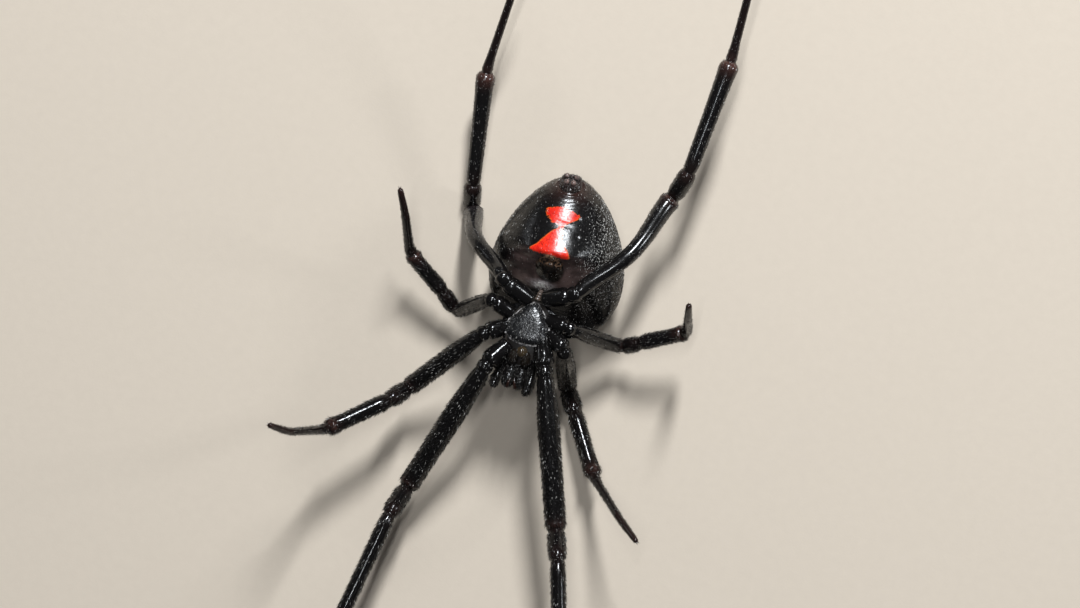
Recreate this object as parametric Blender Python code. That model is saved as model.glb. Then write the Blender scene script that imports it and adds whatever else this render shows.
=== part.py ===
"""Female black widow spider, life size, lying on its back with its legs spread as it hangs in its web.

Metres, +Z up. The belly faces up, the head points to -Y and the spinnerets to +Y, so the spider's
left side is at -X. Sizes are written in millimetres, as spiders are measured, and MM turns them
into metres. Every body is placed in the spider's own frame, whose origin lies below the waist at
floor level, and one empty sets that frame down on the floor.
"""

import math

import bmesh
import bpy
import numpy as np
from mathutils import Euler, Matrix, Vector

MM = 0.001

# Stance on the floor
STANCE_AT = (1.685, 3.54, -0.376)
STANCE_TILT = (0.0, -2.93)
FLOOR_BLOCK = 60.0

# Gaps between neighbours that touch
JOINT_GAP = 0.26
EYE_GAP = 0.05

# Abdomen
ABDOMEN_FRONT = -1.9
ABDOMEN_REAR = 5.6
ABDOMEN_SIDEWAYS = 0.32
ABDOMEN_HALF_WIDTH = 3.05
ABDOMEN_BELLY = 3.05
ABDOMEN_BACK = 2.85
ABDOMEN_MIDDLE = 3.1
ABDOMEN_RINGS = 24
ABDOMEN_SIDES = 36

# Shape of the abdomen, along it from -1 at the waist to 1 at the rear tip
BELLY_CREST = 0.15
BELLY_SPREAD_FRONT = 0.8
BELLY_SPREAD_REAR = 1.25
BACK_LEAN = 0.25
BACK_ROUNDING = 0.18
MIDDLE_RISE = 0.8
MIDDLE_CURL = 0.2
WIDTH_TAPER = 0.25

# Flat slope of the belly that carries the hourglass: where it starts, its level there and its fall
SLOPE_FROM = 2.2
SLOPE_LEVEL = 6.28
SLOPE_FALL = 0.34
SLOPE_ENDS = (1.6, 2.3, 4.2, 4.9)

# Genital plate, a low swelling on the belly
EPIGYNUM_AT = (0.3, 1.43)
EPIGYNUM_RADIUS = 0.62
EPIGYNUM_RISE = 0.3
EPIGYNUM_FALL = 1.5

# Red hourglass on the belly, as half widths at distances along the body
HOURGLASS_AT = 0.3
HOURGLASS_LOWEST = 4.1
HOURGLASS = ((1.75, 0.98), (2.2, 0.72), (2.75, 0.42), (3.25, 0.3), (3.6, 0.5), (4.05, 0.78))

# Prosoma, turned a little against the abdomen
PROSOMA_TURN = math.radians(3.0)
CARAPACE_FRONT = -3.85
CARAPACE_REAR = -0.4
CARAPACE_HALF_WIDTH = 1.18
CARAPACE_MARGIN = 4.46
CARAPACE_DEPTH = 0.85
CARAPACE_UNDERSIDE = 0.1
CARAPACE_RINGS = 18
CARAPACE_SIDES = 28

# Shape of the carapace, along it from -1 at the face to 1 at the waist
OUTLINE_BLUNTNESS = 3
FACE_STEEPNESS = 5
REAR_STEEPNESS = 2
CARAPACE_WIDENING = 0.28
CARAPACE_WIDENING_PACE = 1.8
END_DROP = 0.3
END_DROP_FROM = 0.9

# Breast shield
STERNUM_FRONT = -2.35
STERNUM_REAR = -0.42
STERNUM_HALF_WIDTH = 0.9
STERNUM_LEVEL = 5.2
STERNUM_BELLY = 0.32
STERNUM_INSIDE = 0.55
STERNUM_TAPER = 0.42
STERNUM_POINTING = 0.12
STERNUM_RINGS = 12
STERNUM_SIDES = 20

# Eyes, as rows at an angle below the margin, each with the angles of its eyes to the side
EYE_RADIUS = 0.1
EYE_ROWS = ((-8.0, (-40.0, -14.0, 14.0, 40.0)), (-34.0, (-46.0, -17.0, 17.0, 46.0)))

# Lip, jaw plates and waist
LABIUM_AT = (0.0, -2.58, 5.3)
LABIUM_SIZE = (0.26, 0.15, 0.18)
MAXILLA_AT = (0.31, -3.0, 5.25)
MAXILLA_SIZE = (0.19, 0.27, 0.2)
PEDICEL = ((-0.02, -0.28, 4.78), (0.03, -0.05, 4.8), (0.1, 0.2, 4.86))
PEDICEL_RADII = (0.15, 0.13, 0.15)

# Leg segments from the body outwards, their lengths and half thicknesses for each pair of legs
SEGMENTS = ("coxa", "trochanter", "femur", "patella", "tibia", "metatarsus", "tarsus")
LENGTHS = {
    1: (1.05, 0.4, 7.15, 1.85, 5.9, 6.6, 2.2),
    2: (0.8, 0.35, 5.0, 1.5, 3.3, 3.9, 1.6),
    3: (0.8, 0.3, 3.75, 1.25, 2.4, 2.8, 1.35),
    4: (1.25, 0.45, 6.4, 1.75, 5.35, 4.9, 1.9),
}
THICKNESS = {
    1: (0.42, 0.38, 0.51, 0.44, 0.39, 0.26, 0.22),
    2: (0.37, 0.35, 0.45, 0.43, 0.41, 0.25, 0.22),
    3: (0.36, 0.33, 0.36, 0.38, 0.39, 0.28, 0.23),
    4: (0.44, 0.42, 0.47, 0.45, 0.42, 0.26, 0.22),
}

# How each segment swells and narrows along its length
OUTLINES = {
    "coxa": ((0.0, 0.68), (0.35, 0.95), (0.7, 1.0), (1.0, 0.86)),
    "trochanter": ((0.0, 0.9), (0.5, 1.0), (1.0, 0.85)),
    "femur": ((0.0, 0.74), (0.1, 0.92), (0.35, 1.0), (0.8, 0.95), (0.93, 0.96), (1.0, 0.8)),
    "patella": ((0.0, 0.84), (0.25, 1.0), (0.75, 1.0), (1.0, 0.84)),
    "tibia": ((0.0, 0.86), (0.12, 1.0), (0.5, 0.9), (0.85, 1.02), (1.0, 0.82)),
    "metatarsus": ((0.0, 0.86), (0.06, 0.94), (0.2, 0.84), (0.6, 0.8), (1.0, 0.76)),
    "tarsus": ((0.0, 0.88), (0.5, 0.8), (0.85, 0.7), (1.0, 0.5)),
}
RINGS = {
    "coxa": (0.0, 0.35, 0.7),
    "trochanter": (0.0, 0.5, 0.95),
    "femur": (0.03, 0.08, 0.15, 0.3, 0.45, 0.6, 0.74, 0.86, 0.93, 0.98),
    "patella": (0.07, 0.2, 0.35, 0.6, 0.8),
    "tibia": (0.0, 0.1, 0.25, 0.45, 0.65, 0.8, 0.92, 0.98),
    "metatarsus": (0.02, 0.08, 0.2, 0.4, 0.6, 0.8),
    "tarsus": (0.0, 0.3, 0.6, 0.85, 1.0),
}
LEG_NODES = {
    "hip": ("coxa", "trochanter"),
    "thigh": ("femur",),
    "shin": ("patella", "tibia"),
    "foot": ("metatarsus", "tarsus"),
}
LEG_SIDES = 10

# Knees: how far the round bend reaches along each segment, and its share of a short one
KNEE_REACH = 0.62
KNEE_SHARE = 0.48
KNEE_STEPS = 8
STRAIGHT = math.radians(1.2)

# How far a part is drawn past its joints before they are cut
OVERRUN = 0.35

# Pose of each leg: its root, the heading and rise of each segment in degrees, and the bow of its femur
POSE = {
    "left_1": (
        (-0.98, -2.72, 5.05),
        ((-124, 16), (-105, 6), (-113, -21), (-103, 45), (-101, 10), (-100, 12), (-98, 16)),
        (0.0, 0.0, 0.0),
    ),
    "right_1": (
        (0.73, -2.26, 5.05),
        ((-70, 20), (-70, 12), (-74, -9), (-65, 49), (-74, 12), (-76, 14), (-78, 18)),
        (0.0, 0.0, 0.0),
    ),
    "left_2": (
        (-1.2, -1.82, 5.05),
        ((-152, 20), (-140, 4), (-134, -27), (-125, 58), (-141, 20), (-162, 76), (164, 66)),
        (0.0, 0.0, 0.0),
    ),
    "right_2": (
        (1.1, -1.74, 5.05),
        ((-36, 12), (-75, -35), (-95, -73), (-57, 34), (-58, 18), (-37, 52), (-36, 35)),
        (0.0, 0.0, 0.0),
    ),
    "left_3": (
        (-1.15, -1.06, 5.05),
        ((158, 18), (172, -10), (-153, -57), (132, 34), (142, 17), (98, 52), (108, 39)),
        (0.0, 0.0, 0.0),
    ),
    "right_3": (
        (0.86, -1.09, 5.05),
        ((-6, 12), (-14, -7), (-8, -57), (24, 44), (25, 14), (80, 77), (88, 65)),
        (0.0, 0.0, 0.0),
    ),
    "left_4": (
        (-0.42, -0.3, 5.05),
        ((156, 24), (133, 14), (136, -52), (88, 52), (94, 15), (79, 28), (76, 24)),
        (-0.42, 0.0, 0.62),
    ),
    "right_4": (
        (0.44, -0.11, 5.15),
        ((17, 26), (34, 20), (60, -19), (65, 41), (82, 4), (86, 22), (88, 25)),
        (0.4, -0.3, 0.5),
    ),
}

# Mouthparts, as the middle lines and half thicknesses of their tubes
CHELICERAE = {
    "left": ((-0.46, -3.42, 4.9), (-0.5, -3.9, 5.0), (-0.45, -4.4, 5.2)),
    "right": ((0.03, -3.42, 4.88), (0.05, -3.9, 5.0), (0.01, -4.4, 5.2)),
}
CHELICERA_RADII = (0.2, 0.25, 0.18)
FANGS = {
    "left": ((-0.4, -4.4, 5.5), (-0.36, -4.2, 5.63), (-0.29, -3.96, 5.6)),
    "right": ((-0.04, -4.4, 5.5), (-0.08, -4.2, 5.63), (-0.15, -3.96, 5.6)),
}
FANG_RADII = (0.075, 0.055, 0.02)
PALPS = {
    "left": (
        (-0.71, -3.16, 4.86),
        (-0.86, -3.42, 4.74),
        (-1.0, -3.8, 4.7),
        (-1.1, -4.2, 4.75),
        (-1.08, -4.55, 5.05),
    ),
    "right": (
        (0.48, -3.0, 4.92),
        (0.51, -3.3, 4.83),
        (0.52, -3.75, 4.9),
        (0.5, -4.25, 5.05),
        (0.42, -4.62, 5.2),
    ),
}
PALP_RADII = (0.13, 0.17, 0.18, 0.19, 0.1)

# Number of sides of the small round parts
SMALL_SIDES = 12
SMALL_RINGS = 8
FANG_SIDES = 8

# Spinnerets round the rear tip: distance from its axis, turn about it, length and half thickness
SPINNERET_BASE = (0.33, 5.41, 5.26)
SPINNERET_MOUND = (0.5, 0.22, 0.45)
SPINNERET_MOUND_SIDES = 14
SPINNERET_LIFT = math.radians(38.0)
SPINNERET_LEAN = 0.7
SPINNERET_NARROWING = 0.55
SPINNERET_SIDES = 8
SPINNERETS = (
    (0.27, 55, 0.38, 0.2),
    (0.27, 125, 0.38, 0.2),
    (0.26, 180, 0.3, 0.12),
    (0.26, 0, 0.3, 0.12),
    (0.27, -50, 0.34, 0.16),
    (0.27, -130, 0.34, 0.16),
    (0.0, 0, 0.26, 0.16),
)


def clear_scene():
    """Empties the scene that the file opens with."""
    for obj in list(bpy.data.objects):
        bpy.data.objects.remove(obj, do_unlink=True)


def make_collection(name):
    """A new collection in the scene."""
    collection = bpy.data.collections.new(name)
    bpy.context.scene.collection.children.link(collection)
    return collection


def make_material(name, colour, roughness):
    """A Principled material with one colour."""
    material = bpy.data.materials.new(name)
    material.use_nodes = True
    material.diffuse_color = (*colour, 1.0)
    shader = material.node_tree.nodes["Principled BSDF"]
    shader.inputs["Base Color"].default_value = (*colour, 1.0)
    shader.inputs["Roughness"].default_value = roughness
    shader.inputs["Metallic"].default_value = 0.0
    return material


def add_object(name, mesh, material):
    """Links a mesh as one of the spider's parts, standing in the spider's own frame."""
    mesh.materials.append(material)
    mesh.shade_smooth()
    obj = bpy.data.objects.new(name, mesh)
    spider.objects.link(obj)
    obj.parent = stance
    return obj


def shaped_ball(name, sides, rings, place, material):
    """A closed ball whose every vertex is moved to where place(direction) says, in millimetres."""
    mesh = bpy.data.meshes.new(name)
    bm = bmesh.new()
    bmesh.ops.create_uvsphere(bm, u_segments=sides, v_segments=rings, radius=1.0)
    for vert in bm.verts:
        across, along, up = vert.co.x, vert.co.z, -vert.co.y
        vert.co = Vector(place(Vector((across, along, up)))) * MM
    bm.to_mesh(mesh)
    bm.free()
    return add_object(name, mesh, material)


def tube(name, centres, radii, material, sides):
    """A closed tube along a line of points in millimetres, with its own half thickness at each."""
    curve = bpy.data.curves.new(name, "CURVE")
    curve.dimensions = "3D"
    curve.bevel_depth = MM
    curve.bevel_resolution = (sides - 4) // 2
    curve.use_fill_caps = True
    spline = curve.splines.new("POLY")
    spline.points.add(len(centres) - 1)
    for point, centre, radius in zip(spline.points, centres, radii):
        point.co = (*(Vector(centre) * MM), 1.0)
        point.radius = radius
    guide = bpy.data.objects.new(name, curve)
    spider.objects.link(guide)
    evaluated = guide.evaluated_get(bpy.context.evaluated_depsgraph_get())
    mesh = bpy.data.meshes.new_from_object(evaluated)
    bpy.data.objects.remove(guide, do_unlink=True)
    bpy.data.curves.remove(curve)
    mesh.name = name
    bm = bmesh.new()
    bm.from_mesh(mesh)
    bmesh.ops.remove_doubles(bm, verts=bm.verts, dist=1e-7)
    bm.to_mesh(mesh)
    bm.free()
    mesh.materials.clear()
    return add_object(name, mesh, material)


def knee_arc(joint, way_in, way_out, reach):
    """Points of the round bend that replaces a sharp corner, reaching equally far along both ways."""
    bend = way_in.angle(way_out)
    if bend < STRAIGHT:
        return [joint] * (KNEE_STEPS + 1)
    radius = reach / math.tan(bend / 2.0)
    start = joint - way_in * reach
    axis = way_in.cross(way_out).normalized()
    centre = start + axis.cross(way_in) * radius
    turns = (Matrix.Rotation(bend * step / KNEE_STEPS, 3, axis) for step in range(KNEE_STEPS + 1))
    return [centre + turn @ (start - centre) for turn in turns]


def leg_line(pose, pair):
    """Middle line of a whole leg: place at each segment count, and the square cut at each joint."""
    root, turns, bow = pose
    lengths = LENGTHS[pair]
    ways = [Euler((0.0, math.radians(-rise), math.radians(heading))).to_matrix() @ Vector((1, 0, 0))
            for heading, rise in turns]
    joint = Vector(root)
    counts, places, cuts = [0.0], [joint], []
    for index in range(1, len(SEGMENTS)):
        joint = joint + ways[index - 1] * lengths[index - 1]
        reach = min(KNEE_REACH, KNEE_SHARE * lengths[index - 1], KNEE_SHARE * lengths[index])
        arc = knee_arc(joint, ways[index - 1], ways[index], reach)
        for step, place in enumerate(arc):
            side = 2.0 * step / KNEE_STEPS - 1.0
            counts.append(index + side * reach / lengths[index - 1 if side < 0.0 else index])
            places.append(place)
        cuts.append((arc[KNEE_STEPS // 2], (ways[index - 1] + ways[index]).normalized()))
    counts.append(float(len(SEGMENTS)))
    places.append(joint + ways[-1] * lengths[-1])

    def place_at(count):
        place = Vector([np.interp(count, counts, column) for column in zip(*places)])
        femur = count - SEGMENTS.index("femur")
        if 0.0 < femur < 1.0:
            place += Vector(bow) * math.sin(math.pi * femur) ** 2
        return place

    return place_at, cuts


def half_thickness(pair, count):
    """Half thickness of a leg at a segment count."""
    index = min(int(count), len(SEGMENTS) - 1)
    return THICKNESS[pair][index] * np.interp(count - index, *zip(*OUTLINES[SEGMENTS[index]]))


def trim(obj, place, way):
    """Cuts off what lies beyond a plane and closes the cut with a flat face."""
    bm = bmesh.new()
    bm.from_mesh(obj.data)
    everything = [*bm.verts, *bm.edges, *bm.faces]
    cut = bmesh.ops.bisect_plane(
        bm, geom=everything, dist=1e-8, plane_co=place * MM, plane_no=way, clear_outer=True
    )
    rim = [item for item in cut["geom_cut"] if isinstance(item, bmesh.types.BMEdge)]
    bmesh.ops.contextual_create(bm, geom=rim)
    bm.to_mesh(obj.data)
    bm.free()


def make_leg(leg, pose):
    """The four parts of one leg, parted at its joints by thin square cuts."""
    pair = int(leg[-1])
    place_at, cuts = leg_line(pose, pair)
    for part, segments in LEG_NODES.items():
        first = SEGMENTS.index(segments[0])
        last = first + len(segments)
        counts = [SEGMENTS.index(segment) + ring for segment in segments for ring in RINGS[segment]]
        centres = [place_at(count) for count in counts]
        radii = [half_thickness(pair, min(count, last - 1e-6)) for count in counts]
        if first > 0:
            centres.insert(0, centres[0] + (centres[0] - centres[1]).normalized() * OVERRUN)
            radii.insert(0, radii[0])
        if last < len(SEGMENTS):
            centres.append(centres[-1] + (centres[-1] - centres[-2]).normalized() * OVERRUN)
            radii.append(radii[-1])
        obj = tube(f"leg_{leg}_{part}", centres, radii, black, LEG_SIDES)
        if first > 0:
            place, way = cuts[first - 1]
            trim(obj, place + way * JOINT_GAP / 2.0, -way)
        if last < len(SEGMENTS):
            place, way = cuts[last - 1]
            trim(obj, place - way * JOINT_GAP / 2.0, way)


def abdomen_place(direction):
    """Where a direction from the middle of the abdomen meets its skin."""
    along = direction.y
    y = (ABDOMEN_FRONT + ABDOMEN_REAR) / 2.0 + along * (ABDOMEN_REAR - ABDOMEN_FRONT) / 2.0
    spread = BELLY_SPREAD_FRONT if along < BELLY_CREST else BELLY_SPREAD_REAR
    belly = ABDOMEN_BELLY * math.exp(-(((along - BELLY_CREST) / spread) ** 2))
    back = ABDOMEN_BACK * (1.0 + BACK_LEAN * along - BACK_ROUNDING * along * along)
    middle = ABDOMEN_MIDDLE + MIDDLE_RISE * along + MIDDLE_CURL * along * along
    x = ABDOMEN_SIDEWAYS + ABDOMEN_HALF_WIDTH * (1.0 - WIDTH_TAPER * along) * direction.x
    z = middle + direction.z * (belly if direction.z > 0.0 else back)
    if direction.z > 0.0:
        round_off = math.hypot(direction.x, direction.z)
        slope = SLOPE_LEVEL - SLOPE_FALL * (y - SLOPE_FROM) - middle - round_off * belly
        z += direction.z / round_off * slope * np.interp(y, SLOPE_ENDS, (0.0, 1.0, 1.0, 0.0))
        off = math.hypot(x - EPIGYNUM_AT[0], y - EPIGYNUM_AT[1]) / EPIGYNUM_RADIUS
        z += EPIGYNUM_RISE * max(0.0, 1.0 - off * off) ** EPIGYNUM_FALL
    return x, y, z


def make_abdomen():
    """The globe of the abdomen, with the genital plate swelling on its belly and the red hourglass."""
    obj = shaped_ball("abdomen", ABDOMEN_SIDES, ABDOMEN_RINGS, abdomen_place, black)
    obj.data.materials.append(red)
    along, widths = zip(*HOURGLASS)
    for face in obj.data.polygons:
        x, y, z = face.center / MM
        if z > HOURGLASS_LOWEST and along[0] < y < along[-1]:
            if abs(x - HOURGLASS_AT) < np.interp(y, along, widths):
                face.material_index = 1


def turned(x, y, z):
    """A place on the prosoma after its small turn about the waist."""
    return (
        x * math.cos(PROSOMA_TURN) + y * math.sin(PROSOMA_TURN),
        y * math.cos(PROSOMA_TURN) - x * math.sin(PROSOMA_TURN),
        z,
    )


def carapace_place(direction):
    """Where a direction from the middle of the carapace meets its skin."""
    along = direction.y
    y = (CARAPACE_FRONT + CARAPACE_REAR) / 2.0 + along * (CARAPACE_REAR - CARAPACE_FRONT) / 2.0
    around = 1.0 - along * along
    if around < 1e-3:
        return turned(0.0, y, CARAPACE_MARGIN - END_DROP)
    blunt = math.sqrt((1.0 - abs(along) ** OUTLINE_BLUNTNESS) / around)
    steepness = FACE_STEEPNESS if along < 0.0 else REAR_STEEPNESS
    steep = math.sqrt((1.0 - abs(along) ** steepness) / around)
    widening = 1.0 + CARAPACE_WIDENING * math.sin(CARAPACE_WIDENING_PACE * along)
    x = direction.x * CARAPACE_HALF_WIDTH * blunt * widening
    rise = CARAPACE_UNDERSIDE if direction.z > 0.0 else CARAPACE_DEPTH
    drop = END_DROP * max(0.0, abs(along) - END_DROP_FROM) / (1.0 - END_DROP_FROM)
    return turned(x, y, CARAPACE_MARGIN + direction.z * steep * rise - drop)


def sternum_place(direction):
    """Where a direction from the middle of the breast shield meets its surface."""
    along = direction.y
    y = (STERNUM_FRONT + STERNUM_REAR) / 2.0 + along * (STERNUM_REAR - STERNUM_FRONT) / 2.0
    shield = 1.0 - STERNUM_TAPER * along - STERNUM_POINTING * along * along
    x = direction.x * STERNUM_HALF_WIDTH * shield
    z = STERNUM_LEVEL + direction.z * (STERNUM_BELLY if direction.z > 0.0 else STERNUM_INSIDE)
    return turned(x, y, z)


def ball_at(name, middle, radii, material, sides):
    """A plain ball with its own half size along each axis."""

    def place(way):
        return tuple(c + r * w for c, r, w in zip(middle, radii, way))

    return shaped_ball(name, sides, SMALL_RINGS, place, material)


def cut_with(obj, cutter):
    """Takes the cutter's shape out of a part and applies the cut."""
    modifier = obj.modifiers.new("cut", "BOOLEAN")
    modifier.operation = "DIFFERENCE"
    modifier.solver = "EXACT"
    modifier.object = cutter
    apply_modifiers(obj)


def apply_modifiers(obj):
    """Replaces an object's mesh by what its modifiers make of it."""
    bpy.context.view_layer.update()
    evaluated = obj.evaluated_get(bpy.context.evaluated_depsgraph_get())
    mesh = bpy.data.meshes.new_from_object(evaluated)
    old = obj.data
    obj.modifiers.clear()
    obj.data = mesh
    bpy.data.meshes.remove(old)
    mesh.name = obj.name


def as_cutter(obj):
    """Moves a helper shape among the cutters, out of every render."""
    for collection in list(obj.users_collection):
        collection.objects.unlink(obj)
    cutters.objects.link(obj)
    obj.hide_render = True
    obj.display_type = "WIRE"
    return obj


def make_eyes(carapace):
    """Eight round eyes in two rows, each in a shallow socket of the carapace."""
    number = 0
    for tilt, sides in EYE_ROWS:
        for side in sides:
            number += 1
            tilt_angle, side_angle = math.radians(tilt), math.radians(side)
            way = Vector(
                (
                    math.sin(side_angle) * math.cos(tilt_angle),
                    -math.cos(side_angle) * math.cos(tilt_angle),
                    math.sin(tilt_angle),
                )
            )
            middle = carapace_place(way)
            socket = [EYE_RADIUS + EYE_GAP] * 3
            cutter = ball_at(f"socket_{number}", middle, socket, black, SMALL_SIDES)
            cut_with(carapace, as_cutter(cutter))
            ball_at(f"eye_{number}", middle, [EYE_RADIUS] * 3, glossy, SMALL_SIDES)


def make_prosoma():
    """Head and breast: carapace with its eyes, breast shield, lip, jaw plates and the waist."""
    carapace = shaped_ball("carapace", CARAPACE_SIDES, CARAPACE_RINGS, carapace_place, black)
    make_eyes(carapace)
    shaped_ball("sternum", STERNUM_SIDES, STERNUM_RINGS, sternum_place, black)
    ball_at("labium", turned(*LABIUM_AT), LABIUM_SIZE, brown, SMALL_SIDES)
    x, y, z = MAXILLA_AT
    for side, across in (("left", -x), ("right", x)):
        ball_at(f"maxilla_{side}", turned(across, y, z), MAXILLA_SIZE, brown, SMALL_SIDES)
    tube("pedicel", PEDICEL, PEDICEL_RADII, brown, SMALL_SIDES)


def make_mouthparts():
    """Jaws with their fangs, and the two feelers beside them."""
    for side in ("left", "right"):
        tube(f"chelicera_{side}", CHELICERAE[side], CHELICERA_RADII, black, SMALL_SIDES)
        tube(f"fang_{side}", FANGS[side], FANG_RADII, brown, FANG_SIDES)
        tube(f"palp_{side}", PALPS[side], PALP_RADII, black, SMALL_SIDES)


def make_spinnerets():
    """The cluster of spinning cones round the rear tip, joined on one low mound."""
    base = Vector(SPINNERET_BASE)
    mound = ball_at("spinnerets", base, SPINNERET_MOUND, brown, SPINNERET_MOUND_SIDES)
    lift = Euler((SPINNERET_LIFT, 0.0, 0.0)).to_matrix()
    for distance, turn, length, radius in SPINNERETS:
        turn = math.radians(turn)
        foot = Vector((distance * math.cos(turn), 0.0, distance * math.sin(turn)))
        tip = Vector((foot.x * SPINNERET_LEAN, length, foot.z * SPINNERET_LEAN))
        line = (base + lift @ foot, base + lift @ tip)
        cone = tube("cone", line, (radius, radius * SPINNERET_NARROWING), brown, SPINNERET_SIDES)
        modifier = mound.modifiers.new("join", "BOOLEAN")
        modifier.operation = "UNION"
        modifier.solver = "MANIFOLD"
        modifier.object = cone
        apply_modifiers(mound)
        bpy.data.objects.remove(cone, do_unlink=True)


def stand_on_floor():
    """Sets the spider down and cuts the small flats that it rests on."""
    stance.location = Vector(STANCE_AT) * MM
    stance.rotation_euler = (math.radians(STANCE_TILT[0]), math.radians(STANCE_TILT[1]), 0.0)
    bpy.context.view_layer.update()
    bm = bmesh.new()
    bmesh.ops.create_cube(bm, size=FLOOR_BLOCK * MM)
    mesh = bpy.data.meshes.new("floor_block")
    bm.to_mesh(mesh)
    bm.free()
    block = as_cutter(bpy.data.objects.new("floor_block", mesh))
    block.location.z = -FLOOR_BLOCK * MM / 2.0
    bpy.context.view_layer.update()
    for obj in list(spider.objects):
        if obj.type == "MESH":
            lowest = min((obj.matrix_world @ vert.co).z for vert in obj.data.vertices)
            if lowest < 0.0:
                cut_with(obj, block)


clear_scene()
spider = make_collection("black_widow_spider")
cutters = make_collection("cutters")
stance = bpy.data.objects.new("stance", None)
spider.objects.link(stance)

black = make_material("black_cuticle", (0.012, 0.011, 0.012), 0.3)
glossy = make_material("eye_lens", (0.02, 0.015, 0.012), 0.08)
brown = make_material("reddish_brown_cuticle", (0.09, 0.03, 0.018), 0.4)
red = make_material("hourglass_red", (0.72, 0.03, 0.012), 0.35)

make_abdomen()
make_spinnerets()
make_prosoma()
make_mouthparts()
for leg_name, leg_pose in POSE.items():
    make_leg(leg_name, leg_pose)
stand_on_floor()
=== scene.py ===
# %% [markdown]
# # A black widow spider, life size
#
# A female black widow hangs belly up under her web. Here she lies that way on a pale floor, as a still
# museum model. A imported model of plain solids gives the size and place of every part. This lesson dresses
# it: smooth skins with real joints, the red hourglass, a coat of fine bristles, then a camera, a floor and
# soft lamps.

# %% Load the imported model
import math

import bmesh
import bpy
import numpy as np
from mathutils import Matrix, Vector


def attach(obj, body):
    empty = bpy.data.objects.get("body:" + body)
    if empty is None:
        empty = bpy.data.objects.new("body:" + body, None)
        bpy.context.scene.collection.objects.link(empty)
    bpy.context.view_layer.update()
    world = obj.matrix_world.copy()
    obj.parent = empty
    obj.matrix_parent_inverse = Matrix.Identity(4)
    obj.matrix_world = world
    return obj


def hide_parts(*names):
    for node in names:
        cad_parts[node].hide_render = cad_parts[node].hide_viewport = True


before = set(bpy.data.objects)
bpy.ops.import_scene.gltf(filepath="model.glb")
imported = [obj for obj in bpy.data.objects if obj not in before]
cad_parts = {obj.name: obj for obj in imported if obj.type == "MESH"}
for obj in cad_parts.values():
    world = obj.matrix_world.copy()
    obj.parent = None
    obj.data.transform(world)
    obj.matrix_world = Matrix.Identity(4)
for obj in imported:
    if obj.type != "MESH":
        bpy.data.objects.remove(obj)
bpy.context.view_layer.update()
print("solids in the packed model:", len(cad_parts))

# %% [markdown]
# ## The spider's own frame
#
# Spiders are measured in millimetres, and the spider lies on the floor with a slight tilt. It is simplest to
# model every part in the spider's own frame, where the waist is near the middle and sizes are millimetres,
# and to carry the finished mesh onto the floor with one matrix.

# %% Spider frame and shared tools
MM = 0.001
STANCE_AT = Vector((1.685, 3.54, -0.376))
STANCE_TILT = math.radians(-2.93)
TO_FLOOR = (
    Matrix.Scale(MM, 4)
    @ Matrix.Translation(STANCE_AT)
    @ Matrix.Rotation(STANCE_TILT, 4, "Y")
)
FROM_FLOOR = np.array(TO_FLOOR.inverted())
SKIN_DEPTH = 0.02

rng = np.random.default_rng(1907)
spider = bpy.data.collections.new("black_widow_spider")
bpy.context.scene.collection.children.link(spider)


def add_piece(name, bm, material, stands_for=(), levels=0):
    """Makes the finished piece of a bmesh: on the floor, smooth, riding on the spider's body."""
    bmesh.ops.transform(bm, matrix=TO_FLOOR, verts=bm.verts)
    for vert in bm.verts:
        vert.co.z = max(vert.co.z, 0.0)
    mesh = bpy.data.meshes.new(name)
    bm.to_mesh(mesh)
    bm.free()
    mesh.materials.append(material)
    mesh.shade_smooth()
    return finish_piece(bpy.data.objects.new(name, mesh), stands_for, levels)


def finish_piece(piece, stands_for=(), levels=0):
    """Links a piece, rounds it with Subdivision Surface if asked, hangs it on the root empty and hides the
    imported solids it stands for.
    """
    spider.objects.link(piece)
    if levels:
        rounding = piece.modifiers.new("rounding", "SUBSURF")
        rounding.levels = levels
        rounding.render_levels = levels
    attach(piece, "root")
    if stands_for:
        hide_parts(*stands_for)
    return piece


def in_spider(spots):
    """Places on the floor in metres, turned into the spider's own millimetres."""
    return spots @ FROM_FLOOR[:3, :3].T + FROM_FLOOR[:3, 3]


def vertex_spots(piece):
    """Where the vertices of a piece are, in the spider's own millimetres."""
    return in_spider(np.array([vert.co for vert in piece.data.vertices]))


# %% [markdown]
# ## Finishes
#
# A spider's skin is hard cuticle: black, waxy, very finely pitted, and brown where it is thin. Each finish
# below is one Principled shader whose colour, roughness and bump come from small procedural patterns. The
# patterns read Object coordinates, turned into the spider's own millimetres by a Mapping node, so that a
# pattern's scale is a real size and the hourglass can be drawn at its real place.

# %% A small tool for building materials
BLACK = (0.0034, 0.003, 0.003)
BROWN = (0.062, 0.027, 0.021)


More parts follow.
